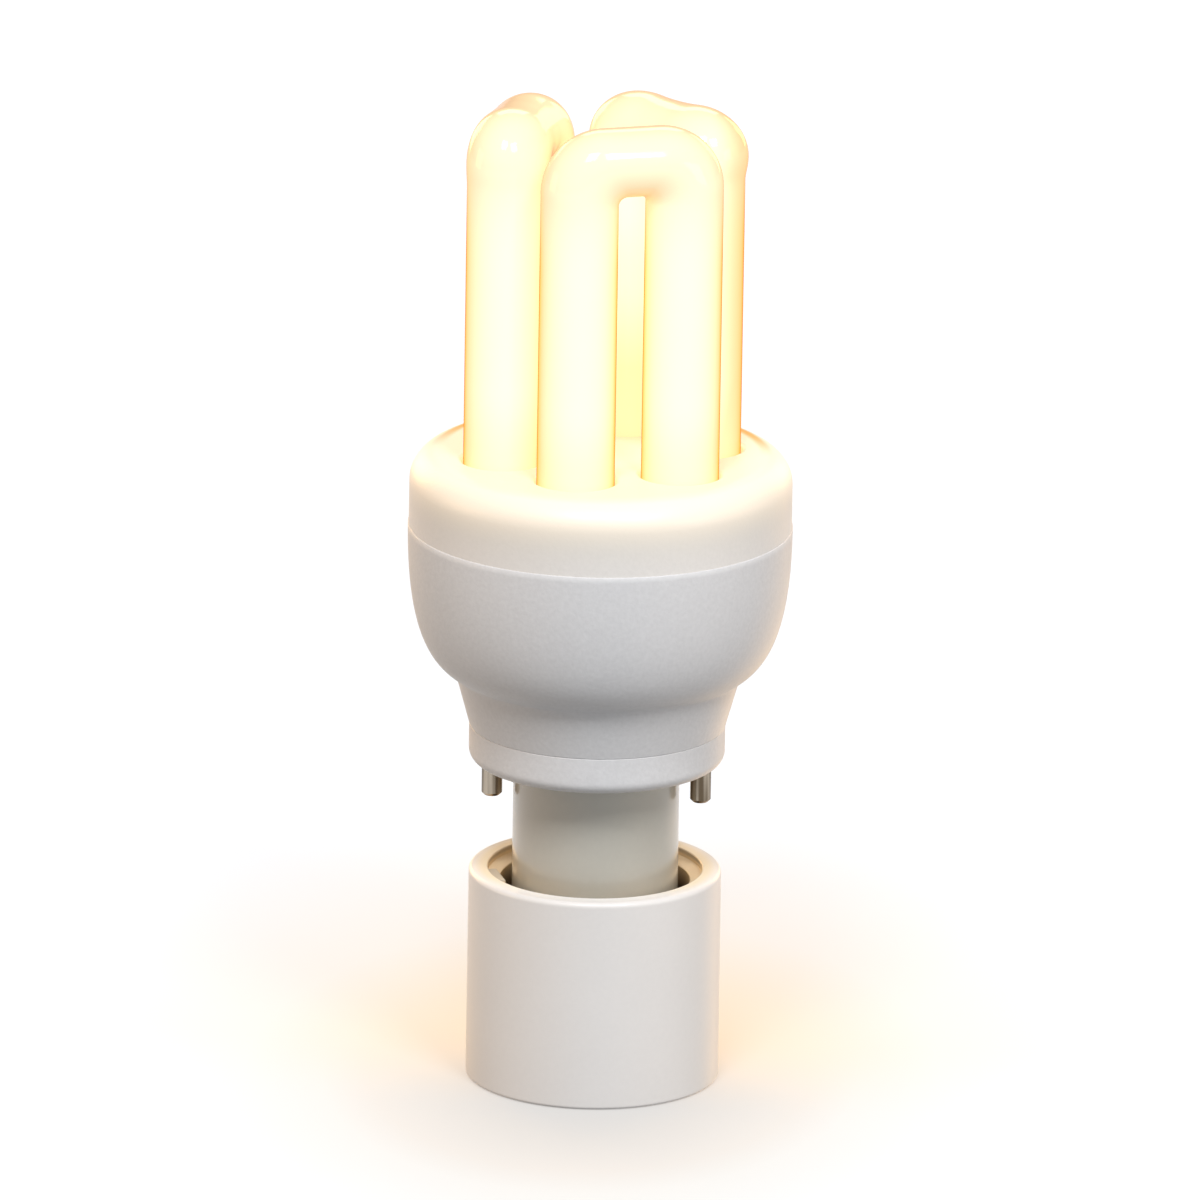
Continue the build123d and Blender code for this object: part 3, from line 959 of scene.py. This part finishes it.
@dataclass
class DischargeTube:
    """Three U's of lit glass tube that stand square to their own radius, and two bridges under the cover."""

    radius: float = 4.45
    leg_gap: float = 3.4
    neighbour_gap: float = 2.39
    turn: float = -71.4
    inner_round: float = 0.9
    corner_round: float = 7.2
    run_half_height: float = 3.95
    bridge_radius: float = 1.6
    bridge_lift: float = 1.9
    stray_below: float = 7.0
    stray_above: float = 1.0
    leg_steps: int = 36
    fan_steps: int = 28
    run_steps: int = 8
    ring_steps: int = 72
    bridge_steps: int = 24

    def __post_init__(self) -> None:
        """Works out the places that follow from the frame and the sizes."""
        low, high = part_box("discharge_tube")
        self.foot, self.top = low.z / MM, high.z / MM
        self.half_span = self.radius + self.leg_gap / 2
        half_turn = math.pi / len(Bend)
        spread = self.radius + self.neighbour_gap / 2 + self.half_span * math.cos(half_turn)
        self.offset = spread / math.sin(half_turn)
        self.pivot_out = self.leg_gap / 2 - self.inner_round
        self.pivot_z = self.top - 2 * self.run_half_height - self.inner_round

    def angle(self, bend: Bend) -> float:
        """Direction of a U's own radius, in degrees."""
        return self.turn + 360 * list(Bend).index(bend) / len(Bend)

    def leg(self, bend: Bend, side: int) -> np.ndarray:
        """Middle of one leg.

        Args:
            bend: Which of the three U's.
            side: 1 for its right leg and -1 for its left one, seen from outside.

        Returns:
            The leg's place, at height 0.
        """
        angle = self.angle(bend)
        aside = side * self.half_span + bend.value.slide
        return self.offset * heading(angle) + aside * heading(angle + 90)

    def reach(self, theta: np.ndarray) -> np.ndarray:
        """Distance from the inner corner's pivot to the outer rounded rectangle.

        A ray from the pivot meets the straight side at wide / cos(theta), the straight top at
        tall / sin(theta), and the corner's arc between them at the farther root of its circle.

        Args:
            theta: Directions in radians, from level to straight up.

        Returns:
            The distance in each direction.
        """
        wide, tall = self.inner_round + 2 * self.radius, self.inner_round + 2 * self.run_half_height
        centre = np.array([wide - self.corner_round, tall - self.corner_round])
        along = centre[0] * np.cos(theta) + centre[1] * np.sin(theta)
        arc = along + np.sqrt(along**2 - centre @ centre + self.corner_round**2)
        on_side = wide / np.maximum(np.cos(theta), TINY)
        on_top = tall / np.maximum(np.sin(theta), TINY)
        arc = np.where(on_side * np.sin(theta) < centre[1], on_side, arc)
        return np.where(on_top * np.cos(theta) < centre[0], on_top, arc)

    def sections(self, shape: BendShape) -> tuple[np.ndarray, np.ndarray, np.ndarray, np.ndarray]:
        """Sections along one U, from foot to foot: fans about the two inner corners, straight elsewhere.

        Args:
            shape: How this U strays from the drawn one.

        Returns:
            The middles and the directions across the section in the U's own plane, as points by 2, and the
            half widths in that plane and square to it.
        """
        theta = np.linspace(0, math.pi / 2, self.fan_steps)
        reach = self.reach(theta)
        middle = (reach + self.inner_round) / 2
        fan_dir = np.stack([np.cos(theta), np.sin(theta)], -1)
        share = (2 * theta / math.pi) ** (math.log(0.5) / math.log(shape.bulge_at))
        swell = 1 + shape.bulge * np.sin(math.pi * share) ** 2
        fan_mid = np.array([self.pivot_out, self.pivot_z]) + fan_dir * middle[:, None]
        fan_half = (reach - self.inner_round) / 2 * swell
        leg_z = np.linspace(self.foot, self.pivot_z, self.leg_steps, endpoint=False)
        leg_mid = np.stack([np.full_like(leg_z, self.half_span), leg_z], -1)
        leg_dir = np.tile([1.0, 0.0], (self.leg_steps, 1))
        leg_half = np.full(self.leg_steps, self.radius)
        run_out = np.linspace(self.pivot_out, 0, self.run_steps)[1:]
        run_mid = np.stack([run_out, np.full_like(run_out, self.top - self.run_half_height)], -1)
        run_dir = np.tile([0.0, 1.0], (len(run_out), 1))
        run_half = np.full(len(run_out), self.run_half_height)
        mid = np.vstack([leg_mid, fan_mid, run_mid])
        direction = np.vstack([leg_dir, fan_dir, run_dir])
        half = np.concatenate([leg_half, fan_half, run_half])
        deep = np.concatenate([leg_half, self.radius * swell, np.full(len(run_out), self.radius)])
        mirror = np.array([-1.0, 1.0])
        mid = np.vstack([mid, mid[-2::-1] * mirror])
        direction = np.vstack([direction, direction[-2::-1] * mirror])
        return mid, direction, np.concatenate([half, half[-2::-1]]), np.concatenate([deep, deep[-2::-1]])

    def u_surface(self, bend: Bend) -> Surface:
        """One U: middle + across * half * cos(phi) + outward * deep * sin(phi), closed at both feet.

        Args:
            bend: Which of the three.

        Returns:
            Its surface in the lamp's frame.
        """
        shape: BendShape = bend.value
        mid, direction, half, deep = self.sections(shape)
        ends = np.array([0.0])
        mid = np.vstack([mid[:1], mid, mid[-1:]])
        direction = np.vstack([direction[:1], direction, direction[-1:]])
        half = np.concatenate([ends, half, ends])
        deep = np.concatenate([ends, deep, ends])
        phi = ring_angles(self.ring_steps)
        across = half[:, None] * np.cos(phi)
        wide = mid[:, :1] + direction[:, :1] * across
        high = mid[:, 1:] + direction[:, 1:] * across
        out = deep[:, None] * np.sin(phi)
        near_top = smoothstep(self.pivot_z - self.stray_below, self.top - self.stray_above, high)
        share = wide / self.half_span
        high = high + near_top * (shape.lift + shape.tilt * share + shape.dip * (share**2 - 1))
        angle = self.angle(bend)
        aside = (wide + shape.slide)[..., None] * heading(angle + 90)
        points = (self.offset + out)[..., None] * heading(angle) + aside
        points = points + high[..., None] * UP
        return grid_surface(points)

    def bridge(self, start: np.ndarray, end: np.ndarray) -> Surface:
        """Short round tube between two legs: start + share * (end - start) + radius * (level cos + up sin).

        Args:
            start: Middle of the first leg.
            end: Middle of the second leg.

        Returns:
            The tube, closed at both ends.
        """
        phi = ring_angles(self.bridge_steps)
        level = unit(np.cross(end - start, UP))
        ring = np.cos(phi)[:, None] * level + np.sin(phi)[:, None] * UP
        share = np.array([0.0, 0.0, 1.0, 1.0])[:, None, None]
        size = np.array([0.0, 1.0, 1.0, 0.0])[:, None, None] * self.bridge_radius
        lift = UP * (self.foot + self.bridge_lift)
        return grid_surface(start + lift + share * (end - start) + size * ring)

    def build(self, material: bpy.types.Material) -> None:
        """Makes the tube's one glass piece.

        Args:
            material: The lit glass.
        """
        glass = self.u_surface(Bend.FRONT) + self.u_surface(Bend.RIGHT_BACK) + self.u_surface(Bend.LEFT)
        glass = glass + self.bridge(self.leg(Bend.FRONT, 1), self.leg(Bend.RIGHT_BACK, -1))
        glass = glass + self.bridge(self.leg(Bend.LEFT, 1), self.leg(Bend.FRONT, -1))
        add_piece("discharge_glass", glass, material, "lit_glass", "discharge_tube")


@dataclass
class Housing:
    """Cover, bowl and base ring: the three mouldings round the ballast."""

    taper: float = 0.13
    shoulder: float = 3.4
    flat_start: float = 4.35
    plate: float = 2.0
    under_round: float = 0.3
    lip_bore: float = 19.15
    lip_fit: float = 0.08
    wall: float = 1.6
    leg_fit: float = 0.25
    leg_round: float = 0.5
    rim_reach: float = 0.65
    seam_bevel: float = 0.07
    seam_step: float = 0.1
    seam_edge: float = 0.02
    ledge: float = 1.6
    board: float = 1.6
    neck_height: float = 6.1
    neck_flare: float = 1.7
    neck_wall: float = 1.7
    neck_round: float = 0.7
    foot_angle: float = 23.4
    foot_pull: float = 4.05
    side_pull: float = 10.87
    bowl_start: float = 0.05
    spigot_fit: float = 0.05
    cavity_foot: float = 5.3
    cap_floor: float = 2.2
    cap_wall: float = 0.95
    cap_round: float = 1.4
    post_hole: float = 9.6
    edge: float = 0.12
    bowl_steps: int = 48
    hole_steps: int = 96

    def __post_init__(self) -> None:
        """Reads the heights and radii from the frame."""
        cover_low, cover_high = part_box("top_cover")
        bowl_low, bowl_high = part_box("lower_housing")
        cap_low, cap_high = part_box("base_cap")
        self.radius = cover_high.x / MM
        self.plate_z, self.lip_z = cover_high.z / MM, cover_low.z / MM
        self.seam_z, self.spigot_z = bowl_high.z / MM, bowl_low.z / MM
        self.cap_radius = cap_high.x / MM
        self.cap_z, self.ring_z = cap_low.z / MM, cap_high.z / MM
        self.neck_z = self.ring_z + self.neck_height
        self.bore = self.radius - self.wall
        self.cap_bore = self.cap_radius - self.cap_wall

    def cover_surface(self, tube: DischargeTube) -> Surface:
        """Cover: a turned shell with a flat plate, and a rolled edge turned round each leg hole.

        Args:
            tube: The tube, whose legs pass through the plate.

        Returns:
            The cover's surface.
        """
        under = self.plate_z - self.plate
        lip = self.bore - self.lip_fit
        flat = self.radius - self.flat_start
        outline = rounded(
            [
                (self.lip_bore, under, self.under_round),
                (self.lip_bore, self.lip_z, self.edge),
                (lip, self.lip_z, self.edge),
                (lip, self.seam_z, self.edge),
                (self.radius - self.seam_step, self.seam_z, self.seam_edge),
                (self.radius - self.taper, self.plate_z, self.shoulder),
                (flat, self.plate_z, 0.0),
                (flat, under, 0.0),
            ],
            arc_steps=14,
        )
        inner = np.isclose(outline[:, 0], flat)
        start = int(np.argmax(inner & np.isclose(outline[:, 1], under)))
        shell = lathe(np.roll(outline, -start, 0), closed=False)
        hole = tube.radius + self.leg_fit
        roll = rounded(
            [
                (hole, under, 0.0),
                (hole + self.rim_reach, under, 0.0),
                (hole + self.rim_reach, self.plate_z, 0.0),
                (hole, self.plate_z, self.leg_round),
            ],
            arc_steps=10,
        )
        rim = flat * circle(LATHE_STEPS)
        turn = circle(self.hole_steps)
        legs = [tube.leg(bend, side) for bend in Bend for side in (-1, 1)]
        top_holes = [leg[:2] + (hole + self.rim_reach) * turn for leg in legs]
        top = pierced_plate(rim, top_holes, self.plate_z)
        low_holes = [leg[:2] + hole * turn for leg in legs]
        low = pierced_plate(rim, low_holes, under)
        cover = shell + top + low
        wall = lathe(np.roll(roll, -2, 0)[:-1], self.hole_steps, closed=False)
        for leg in legs:
            cover = cover + wall.moved(leg)
        return cover

    def bowl_outline(self) -> np.ndarray:
        """Half section of the bowl and neck.

        The bowl's side is one cubic curve from the neck's corner to the seam, with a pull at either end.

        Returns:
            Radii and heights, counter-clockwise.
        """
        angle = math.radians(self.foot_angle)
        corner = np.array([self.cap_radius + self.neck_flare, self.neck_z])
        pull = np.array([math.cos(angle), math.sin(angle)]) * self.foot_pull
        top = np.array([self.radius, self.seam_z - self.seam_bevel])
        share = np.linspace(self.bowl_start, 1, self.bowl_steps)[:, None]
        curve = (
            (1 - share) ** 3 * corner
            + 3 * (1 - share) ** 2 * share * (corner + pull)
            + 3 * (1 - share) * share**2 * np.array([self.radius, self.seam_z - self.side_pull])
            + share**3 * top
        )
        spigot = self.cap_bore - self.spigot_fit
        neck_bore = self.cap_radius - self.neck_wall
        ledge_z = self.lip_z - self.board
        lower = [
            (neck_bore, self.spigot_z, 0.0),
            (spigot, self.spigot_z, 0.0),
            (spigot, self.ring_z, 0.0),
            (self.cap_radius, self.ring_z, self.edge),
            (*corner, self.neck_round),
            *[(r, z, 0.0) for r, z in curve[:1]],
        ]
        upper = [
            (self.radius - self.seam_bevel, self.seam_z, 0.0),
            (self.bore, self.seam_z, 0.0),
            (self.bore, ledge_z, 0.0),
            (self.bore - self.ledge, ledge_z, 0.0),
            (self.bore - self.ledge, self.neck_z + self.cavity_foot, 0.0),
            (neck_bore, self.neck_z, 0.0),
        ]
        return rounded([*lower, *[(r, z, 0.0) for r, z in curve[1:]], *upper])

    def cap_outline(self) -> np.ndarray:
        """Half section of the base ring: a shallow pan with a rounded foot.

        Returns:
            Radii and heights, counter-clockwise.
        """
        floor_z = self.cap_z + self.cap_floor
        return rounded(
            [
                (self.post_hole, self.cap_z, self.edge),
                (self.cap_radius, self.cap_z, self.cap_round),
                (self.cap_radius, self.ring_z, self.edge),
                (self.cap_bore, self.ring_z, self.edge),
                (self.cap_bore, floor_z, self.edge),
                (self.post_hole, floor_z, self.edge),
            ],
            arc_steps=12,
        )

    def build(self, tube: DischargeTube, cover: bpy.types.Material, grey: bpy.types.Material) -> None:
        """Makes the three mouldings.

        Args:
            tube: The tube, whose legs pass through the cover.
            cover: The glowing cover's plastic.
            grey: The bowl's and the base ring's plastic.
        """
        add_piece("cover_moulding", self.cover_surface(tube), cover, "cover_plastic", "top_cover")
        add_piece("bowl_moulding", lathe(self.bowl_outline()), grey, "housing_plastic", "lower_housing")
        add_piece("base_ring", lathe(self.cap_outline()), grey, "housing_plastic", "base_cap")


@dataclass
class PlugBase:
    """Round plug post and the two contact pins beside it."""

    post_radius: float = 9.55
    post_wall: float = 1.5
    post_round: float = 0.6
    bore_round: float = 0.3
    flange_height: float = 1.0
    pin_radius: float = 1.2
    pin_bevel: float = 0.35
    shank_radius: float = 0.8
    collar_radius: float = 1.5
    collar_height: float = 0.8
    tail_radius: float = 0.6
    tip_round: float = 0.15
    shank_round: float = 0.04
    edge: float = 0.08
    pin_steps: int = 64

    def post_outline(self) -> np.ndarray:
        """Half section of the hollow post with its closed foot and top flange.

        Returns:
            Radii and heights, counter-clockwise.
        """
        low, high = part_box("plug_post")
        foot, top, flange = low.z / MM, high.z / MM, high.x / MM
        bore = self.post_radius - self.post_wall
        under = top - self.flange_height
        return rounded(
            [
                (0.0, foot, 0.0),
                (self.post_radius, foot, self.post_round),
                (self.post_radius, under, self.edge),
                (flange, under, self.edge),
                (flange, top, self.edge),
                (bore, top, self.edge),
                (bore, foot + self.post_wall, self.bore_round),
                (0.0, foot + self.post_wall, 0.0),
            ]
        )

    def pin_outline(self, tip: float, tail: float, base: float, floor: float) -> np.ndarray:
        """Half section of a pin, from its bevelled tip to its tail.

        Args:
            tip: Height of the tip.
            tail: Height of the tail's end.
            base: Height of the base ring's underside.
            floor: Height of the base ring's inner floor.

        Returns:
            The outline about the pin's own axis.
        """
        collar = floor + self.collar_height
        return rounded(
            [
                (0.0, tip, 0.0),
                (self.pin_radius - self.pin_bevel, tip, self.tip_round),
                (self.pin_radius, tip + self.pin_bevel, self.tip_round),
                (self.pin_radius, base, self.shank_round),
                (self.shank_radius, base, self.shank_round),
                (self.shank_radius, floor, self.shank_round),
                (self.collar_radius, floor, self.edge),
                (self.collar_radius, collar, self.edge),
                (self.tail_radius, collar, self.shank_round),
                (self.tail_radius, tail, self.edge),
                (0.0, tail, 0.0),
            ]
        )

    def build(self, post: bpy.types.Material, metal: bpy.types.Material, housing: Housing) -> None:
        """Makes the post and the pins.

        Args:
            post: The post's plastic.
            metal: The pins' metal.
            housing: The housing, whose base ring holds the pins.
        """
        turned = lathe(self.post_outline(), closed=False)
        add_piece("post_moulding", turned, post, "post_plastic", "plug_post")
        floor = housing.cap_z + housing.cap_floor
        for side in ("left", "right"):
            node = f"contact_pin_{side}"
            low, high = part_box(node)
            outline = self.pin_outline(low.z / MM, high.z / MM, housing.cap_z, floor)
            middle = ((low.x + high.x) / 2 / MM, (low.y + high.y) / 2 / MM, 0.0)
            pin = lathe(outline, self.pin_steps, closed=False).moved(middle)
            add_piece(f"turned_pin_{side}", pin, metal, "pin_nickel", node)


@dataclass
class CupHolder:
    """White cup with a stepped mouth and a key block on its ledge."""

    mouth: float = 12.31
    throat: float = 10.91
    floor: float = 2.8
    draft: float = 0.05
    mouth_depth: float = 0.9
    throat_slope: float = 0.5
    rim_round: float = 0.6
    mouth_round: float = 0.2
    foot_round: float = 0.4
    floor_round: float = 0.4
    mouth_foot_round: float = 0.075
    step_round: float = 0.15
    key_angle: float = 198.0
    key_width: float = 4.6
    key_depth: float = 3.2
    key_reach: float = 1.2
    key_drop: float = 0.3
    key_round: float = 0.15
    key_rows: int = 34
    key_columns: int = 64
    cup_steps: int = 224

    def outline(self) -> np.ndarray:
        """Half section of the cup.

        Returns:
            Radii and heights, counter-clockwise.
        """
        low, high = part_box("holder_cup")
        radius, top = high.x / MM, high.z / MM
        step = top - self.mouth_depth
        return rounded(
            [
                (0.0, low.z / MM, 0.0),
                (radius, low.z / MM, self.foot_round),
                (radius - self.draft, top, self.rim_round),
                (self.mouth, top, self.mouth_round),
                (self.mouth, step, self.mouth_foot_round),
                (self.throat, step - self.throat_slope, self.step_round),
                (self.throat, self.floor, self.floor_round),
                (0.0, self.floor, 0.0),
            ],
            arc_steps=12,
        )

    def key_surface(self) -> Surface:
        """Key block: a box with rounded edges, as a ball of points pushed out to the box's inner corners.

        Returns:
            The block's surface, sunk a little way into the cup's wall.
        """
        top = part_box("holder_cup")[1].z / MM - self.key_drop
        deep = self.key_reach + self.rim_round
        size = np.array([deep, self.key_width, self.key_depth])
        polar = np.linspace(0, math.pi, self.key_rows)
        around = ring_angles(self.key_columns) + math.pi / self.key_columns
        ball = np.stack(
            [
                np.sin(polar)[:, None] * np.cos(around),
                np.sin(polar)[:, None] * np.sin(around),
                np.cos(polar)[:, None] * np.ones_like(around),
            ],
            -1,
        )
        block = ball * self.key_round + np.sign(np.round(ball, decimals=6)) * (size / 2 - self.key_round)
        middle = self.mouth - self.key_reach + deep / 2
        out, along = heading(self.key_angle), heading(self.key_angle + 90)
        points = (middle + block[..., :1]) * out + block[..., 1:2] * along
        points = points + (block[..., 2:] + top - self.key_depth / 2) * UP
        return grid_surface(points)

    def build(self, material: bpy.types.Material) -> None:
        """Makes the cup with its key block."""
        cup = lathe(self.outline(), self.cup_steps, closed=False) + self.key_surface()
        add_piece("cup_moulding", cup, material, "cup_plastic", "holder_cup")


@dataclass
class Ballast:
    """The pieces sealed inside the housing, which keep their CAD meshes."""

    frame: dict[str, Any]

    def dress(self, materials: Mapping[str, bpy.types.Material]) -> None:
        """Gives every CAD node the finish of its slot.

        Args:
            materials: The material of each slot.
        """
        for part in self.frame["record"]["subparts"]:
            mesh = self.frame["nodes"][part["node"]].data
            mesh.materials.clear()
            mesh.materials.append(materials[part["material_slot"]])


@dataclass(frozen=True)
class Softbox:
    """An oblong light, a metre away, that faces the lamp."""

    name: str
    azimuth: float
    elevation: float
    width: float
    depth: float
    power: float
    colour: tuple[float, float, float] = (1.0, 1.0, 1.0)
    distance: float = 1000.0
    height: float = 50.0

    def build(self) -> None:
        """Makes the light and turns it to the lamp's axis."""
        data = bpy.data.lights.new(self.name, "AREA")
        data.shape = "RECTANGLE"
        data.size, data.size_y = self.width * MM, self.depth * MM
        data.energy = self.power
        data.color = self.colour
        light = bpy.data.objects.new(self.name, data)
        target = Vector((0.0, 0.0, self.height * MM))
        away = Vector(outward(self.azimuth, self.elevation))
        light.location = target + away * self.distance * MM
        light.rotation_euler = (target - light.location).to_track_quat("-Z", "Y").to_euler()
        bpy.context.scene.collection.objects.link(light)


@dataclass
class PhotoCamera:
    """Long-lens camera at the photograph's viewing angle."""

    azimuth: float = -86.4
    elevation: float = 16.7
    roll: float = 0.9
    distance: float = 2500.0
    frame_width: float = 137.4
    aim_height: float = 56.7
    aim_aside: float = 0.1
    sensor: float = 36.0
    near: float = 50.0
    far: float = 50000.0

    def build(self) -> None:
        """Makes the camera: it aims a little beside the axis, then rolls about its line of sight."""
        data = bpy.data.cameras.new("photo_camera")
        data.sensor_width = self.sensor
        data.lens = self.sensor * self.distance / self.frame_width
        data.clip_start, data.clip_end = self.near * MM, self.far * MM
        camera = bpy.data.objects.new("photo_camera", data)
        right = heading(self.azimuth + 90)
        target = Vector(right * self.aim_aside + UP * self.aim_height) * MM
        place = target + Vector(outward(self.azimuth, self.elevation)) * self.distance * MM
        facing = (target - place).to_track_quat("-Z", "Y").to_matrix().to_4x4()
        roll = Matrix.Rotation(math.radians(self.roll), 4, "Z")
        camera.matrix_world = Matrix.Translation(place) @ facing @ roll
        bpy.context.scene.collection.objects.link(camera)
        bpy.context.scene.camera = camera


@dataclass(frozen=True)
class PaleFloor(Finish):
    """White floor sheet that glows evenly, with a soft shade before the cup and a warm halo behind it.

    The shade and the halo are stops of colour over the distance from the lamp's axis, which counts
    more along X than along Y.
    """

    colour: Colour = (0.3, 0.3, 0.3, 1.0)
    roughness: float = 0.75
    reach: float = 110.0
    across: float = 1.45
    turn: float = 16.0
    shade: tuple[tuple[float, Colour], ...] = (
        (15.0, (0.42, 0.41, 0.40, 1.0)),
        (25.0, (0.51, 0.48, 0.45, 1.0)),
        (37.0, (0.60, 0.56, 0.52, 1.0)),
        (45.0, (0.64, 0.63, 0.61, 1.0)),
        (75.0, (0.68, 0.72, 0.76, 1.0)),
    )
    halo: tuple[tuple[float, Colour], ...] = (
        (18.0, (0.70, 0.50, 0.33, 1.0)),
        (25.0, (0.73, 0.55, 0.38, 1.0)),
        (37.0, (0.73, 0.60, 0.46, 1.0)),
        (58.0, (0.72, 0.67, 0.63, 1.0)),
        (105.0, (0.70, 0.74, 0.79, 1.0)),
    )

    def sockets(self, tree: ShaderTree, place: Sock) -> dict[str, Any]:
        """Even white with its own glow, which goes from the shade to the halo from front to back.

        Args:
            tree: The material's nodes.
            place: Object coordinates.

        Returns:
            A value or a link for each socket's name.
        """
        along, away = tree.axis(place, "X") * self.across, tree.axis(place, "Y")
        distance = along.hypot(away) * (1 / self.reach)
        rings = [
            tree.node(
                "ShaderNodeValToRGB", {"stops": [(r / self.reach, c) for r, c in stops]}, {"Fac": distance}
            )
            for stops in (self.shade, self.halo)
        ]
        return {
            "Base Color": self.colour,
            "Roughness": self.roughness,
            "Specular IOR Level": 0.0,
            "Emission Color": tree.blend(tree.ramp(away, -self.turn, self.turn), *rings),
            "Emission Strength": 1.0,
        }


@dataclass
class Studio:
    """Pale floor, dim even surroundings, soft lights and the camera."""

    floor_radius: float = 3000.0
    floor_z: float = -0.02
    floor_steps: int = 96
    surroundings: float = 0.26
    warm: tuple[float, float, float] = (1.0, 0.62, 0.28)
    mild: tuple[float, float, float] = (1.0, 0.82, 0.6)

    def build_floor(self) -> None:
        """Makes the floor: a wide disc just under the cup's foot, out of the bounce that lights the lamp."""
        disc = np.array([[0.0, self.floor_z], [self.floor_radius, self.floor_z]])
        mesh = bpy.data.meshes.new("pale_floor")
        surface = lathe(disc, self.floor_steps, closed=False)
        mesh.from_pydata((surface.points * MM).tolist(), [], np.flip(surface.quads, 1).tolist())
        mesh.materials.append(PaleFloor().build("pale_floor"))
        floor = bpy.data.objects.new("pale_floor", mesh)
        bpy.context.scene.collection.objects.link(floor)
        floor.visible_diffuse = False
        floor.visible_shadow = False

    def build_world(self) -> None:
        """Makes the even surroundings."""
        world = bpy.data.worlds.new("studio_white")
        bpy.context.scene.world = world
        tree = ShaderTree(world)
        inputs = {"Color": (1, 1, 1, 1), "Strength": self.surroundings}
        light = tree.node("ShaderNodeBackground", inputs=inputs)
        tree.node("ShaderNodeOutputWorld", inputs={"Surface": light})

    def build(self) -> None:
        """Makes the stage, the lights and the camera, and sets plain colour output."""
        self.build_floor()
        self.build_world()
        front, warm = PhotoCamera.azimuth, self.warm
        for softbox in (
            Softbox("front_left_softbox", front - 13, 54, 240, 300, 4.5),
            Softbox("front_right_softbox", front + 26, 47, 240, 300, 4.2),
            Softbox("back_softbox", front + 180, 32, 500, 300, 2.0, self.mild),
            Softbox("right_strip", front + 60, 10, 400, 400, 1.3),
            Softbox("right_warm", front + 90, 10, 400, 400, 0.7, warm),
            Softbox("left_warm", front - 90, 10, 400, 400, 2.2, warm),
            Softbox("back_right_warm", front + 150, 10, 400, 400, 3.0, warm),
            Softbox("back_left_warm", front - 150, 10, 400, 400, 4.6, warm),
            Softbox("warm_bounce", front + 150, -28, 400, 400, 2.4, warm),
        ):
            softbox.build()
        PhotoCamera().build()
        view = bpy.context.scene.view_settings
        view.view_transform = "Standard"
        view.look = "None"


def main() -> None:
    """Loads the frame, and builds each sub-assembly and the studio."""
    logging.basicConfig(level=logging.INFO, format="%(message)s")
    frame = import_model()
    materials = {slot: finish.build(slot) for slot, finish in FINISHES.items()}
    Ballast(frame).dress(materials)
    tube = DischargeTube()
    tube.build(materials["lit_glass"])
    housing = Housing()
    housing.build(tube, materials["cover_plastic"], materials["housing_plastic"])
    PlugBase().build(materials["post_plastic"], materials["pin_nickel"], housing)
    CupHolder().build(materials["cup_plastic"])
    Studio().build()


if __name__ == "__main__":
    main()
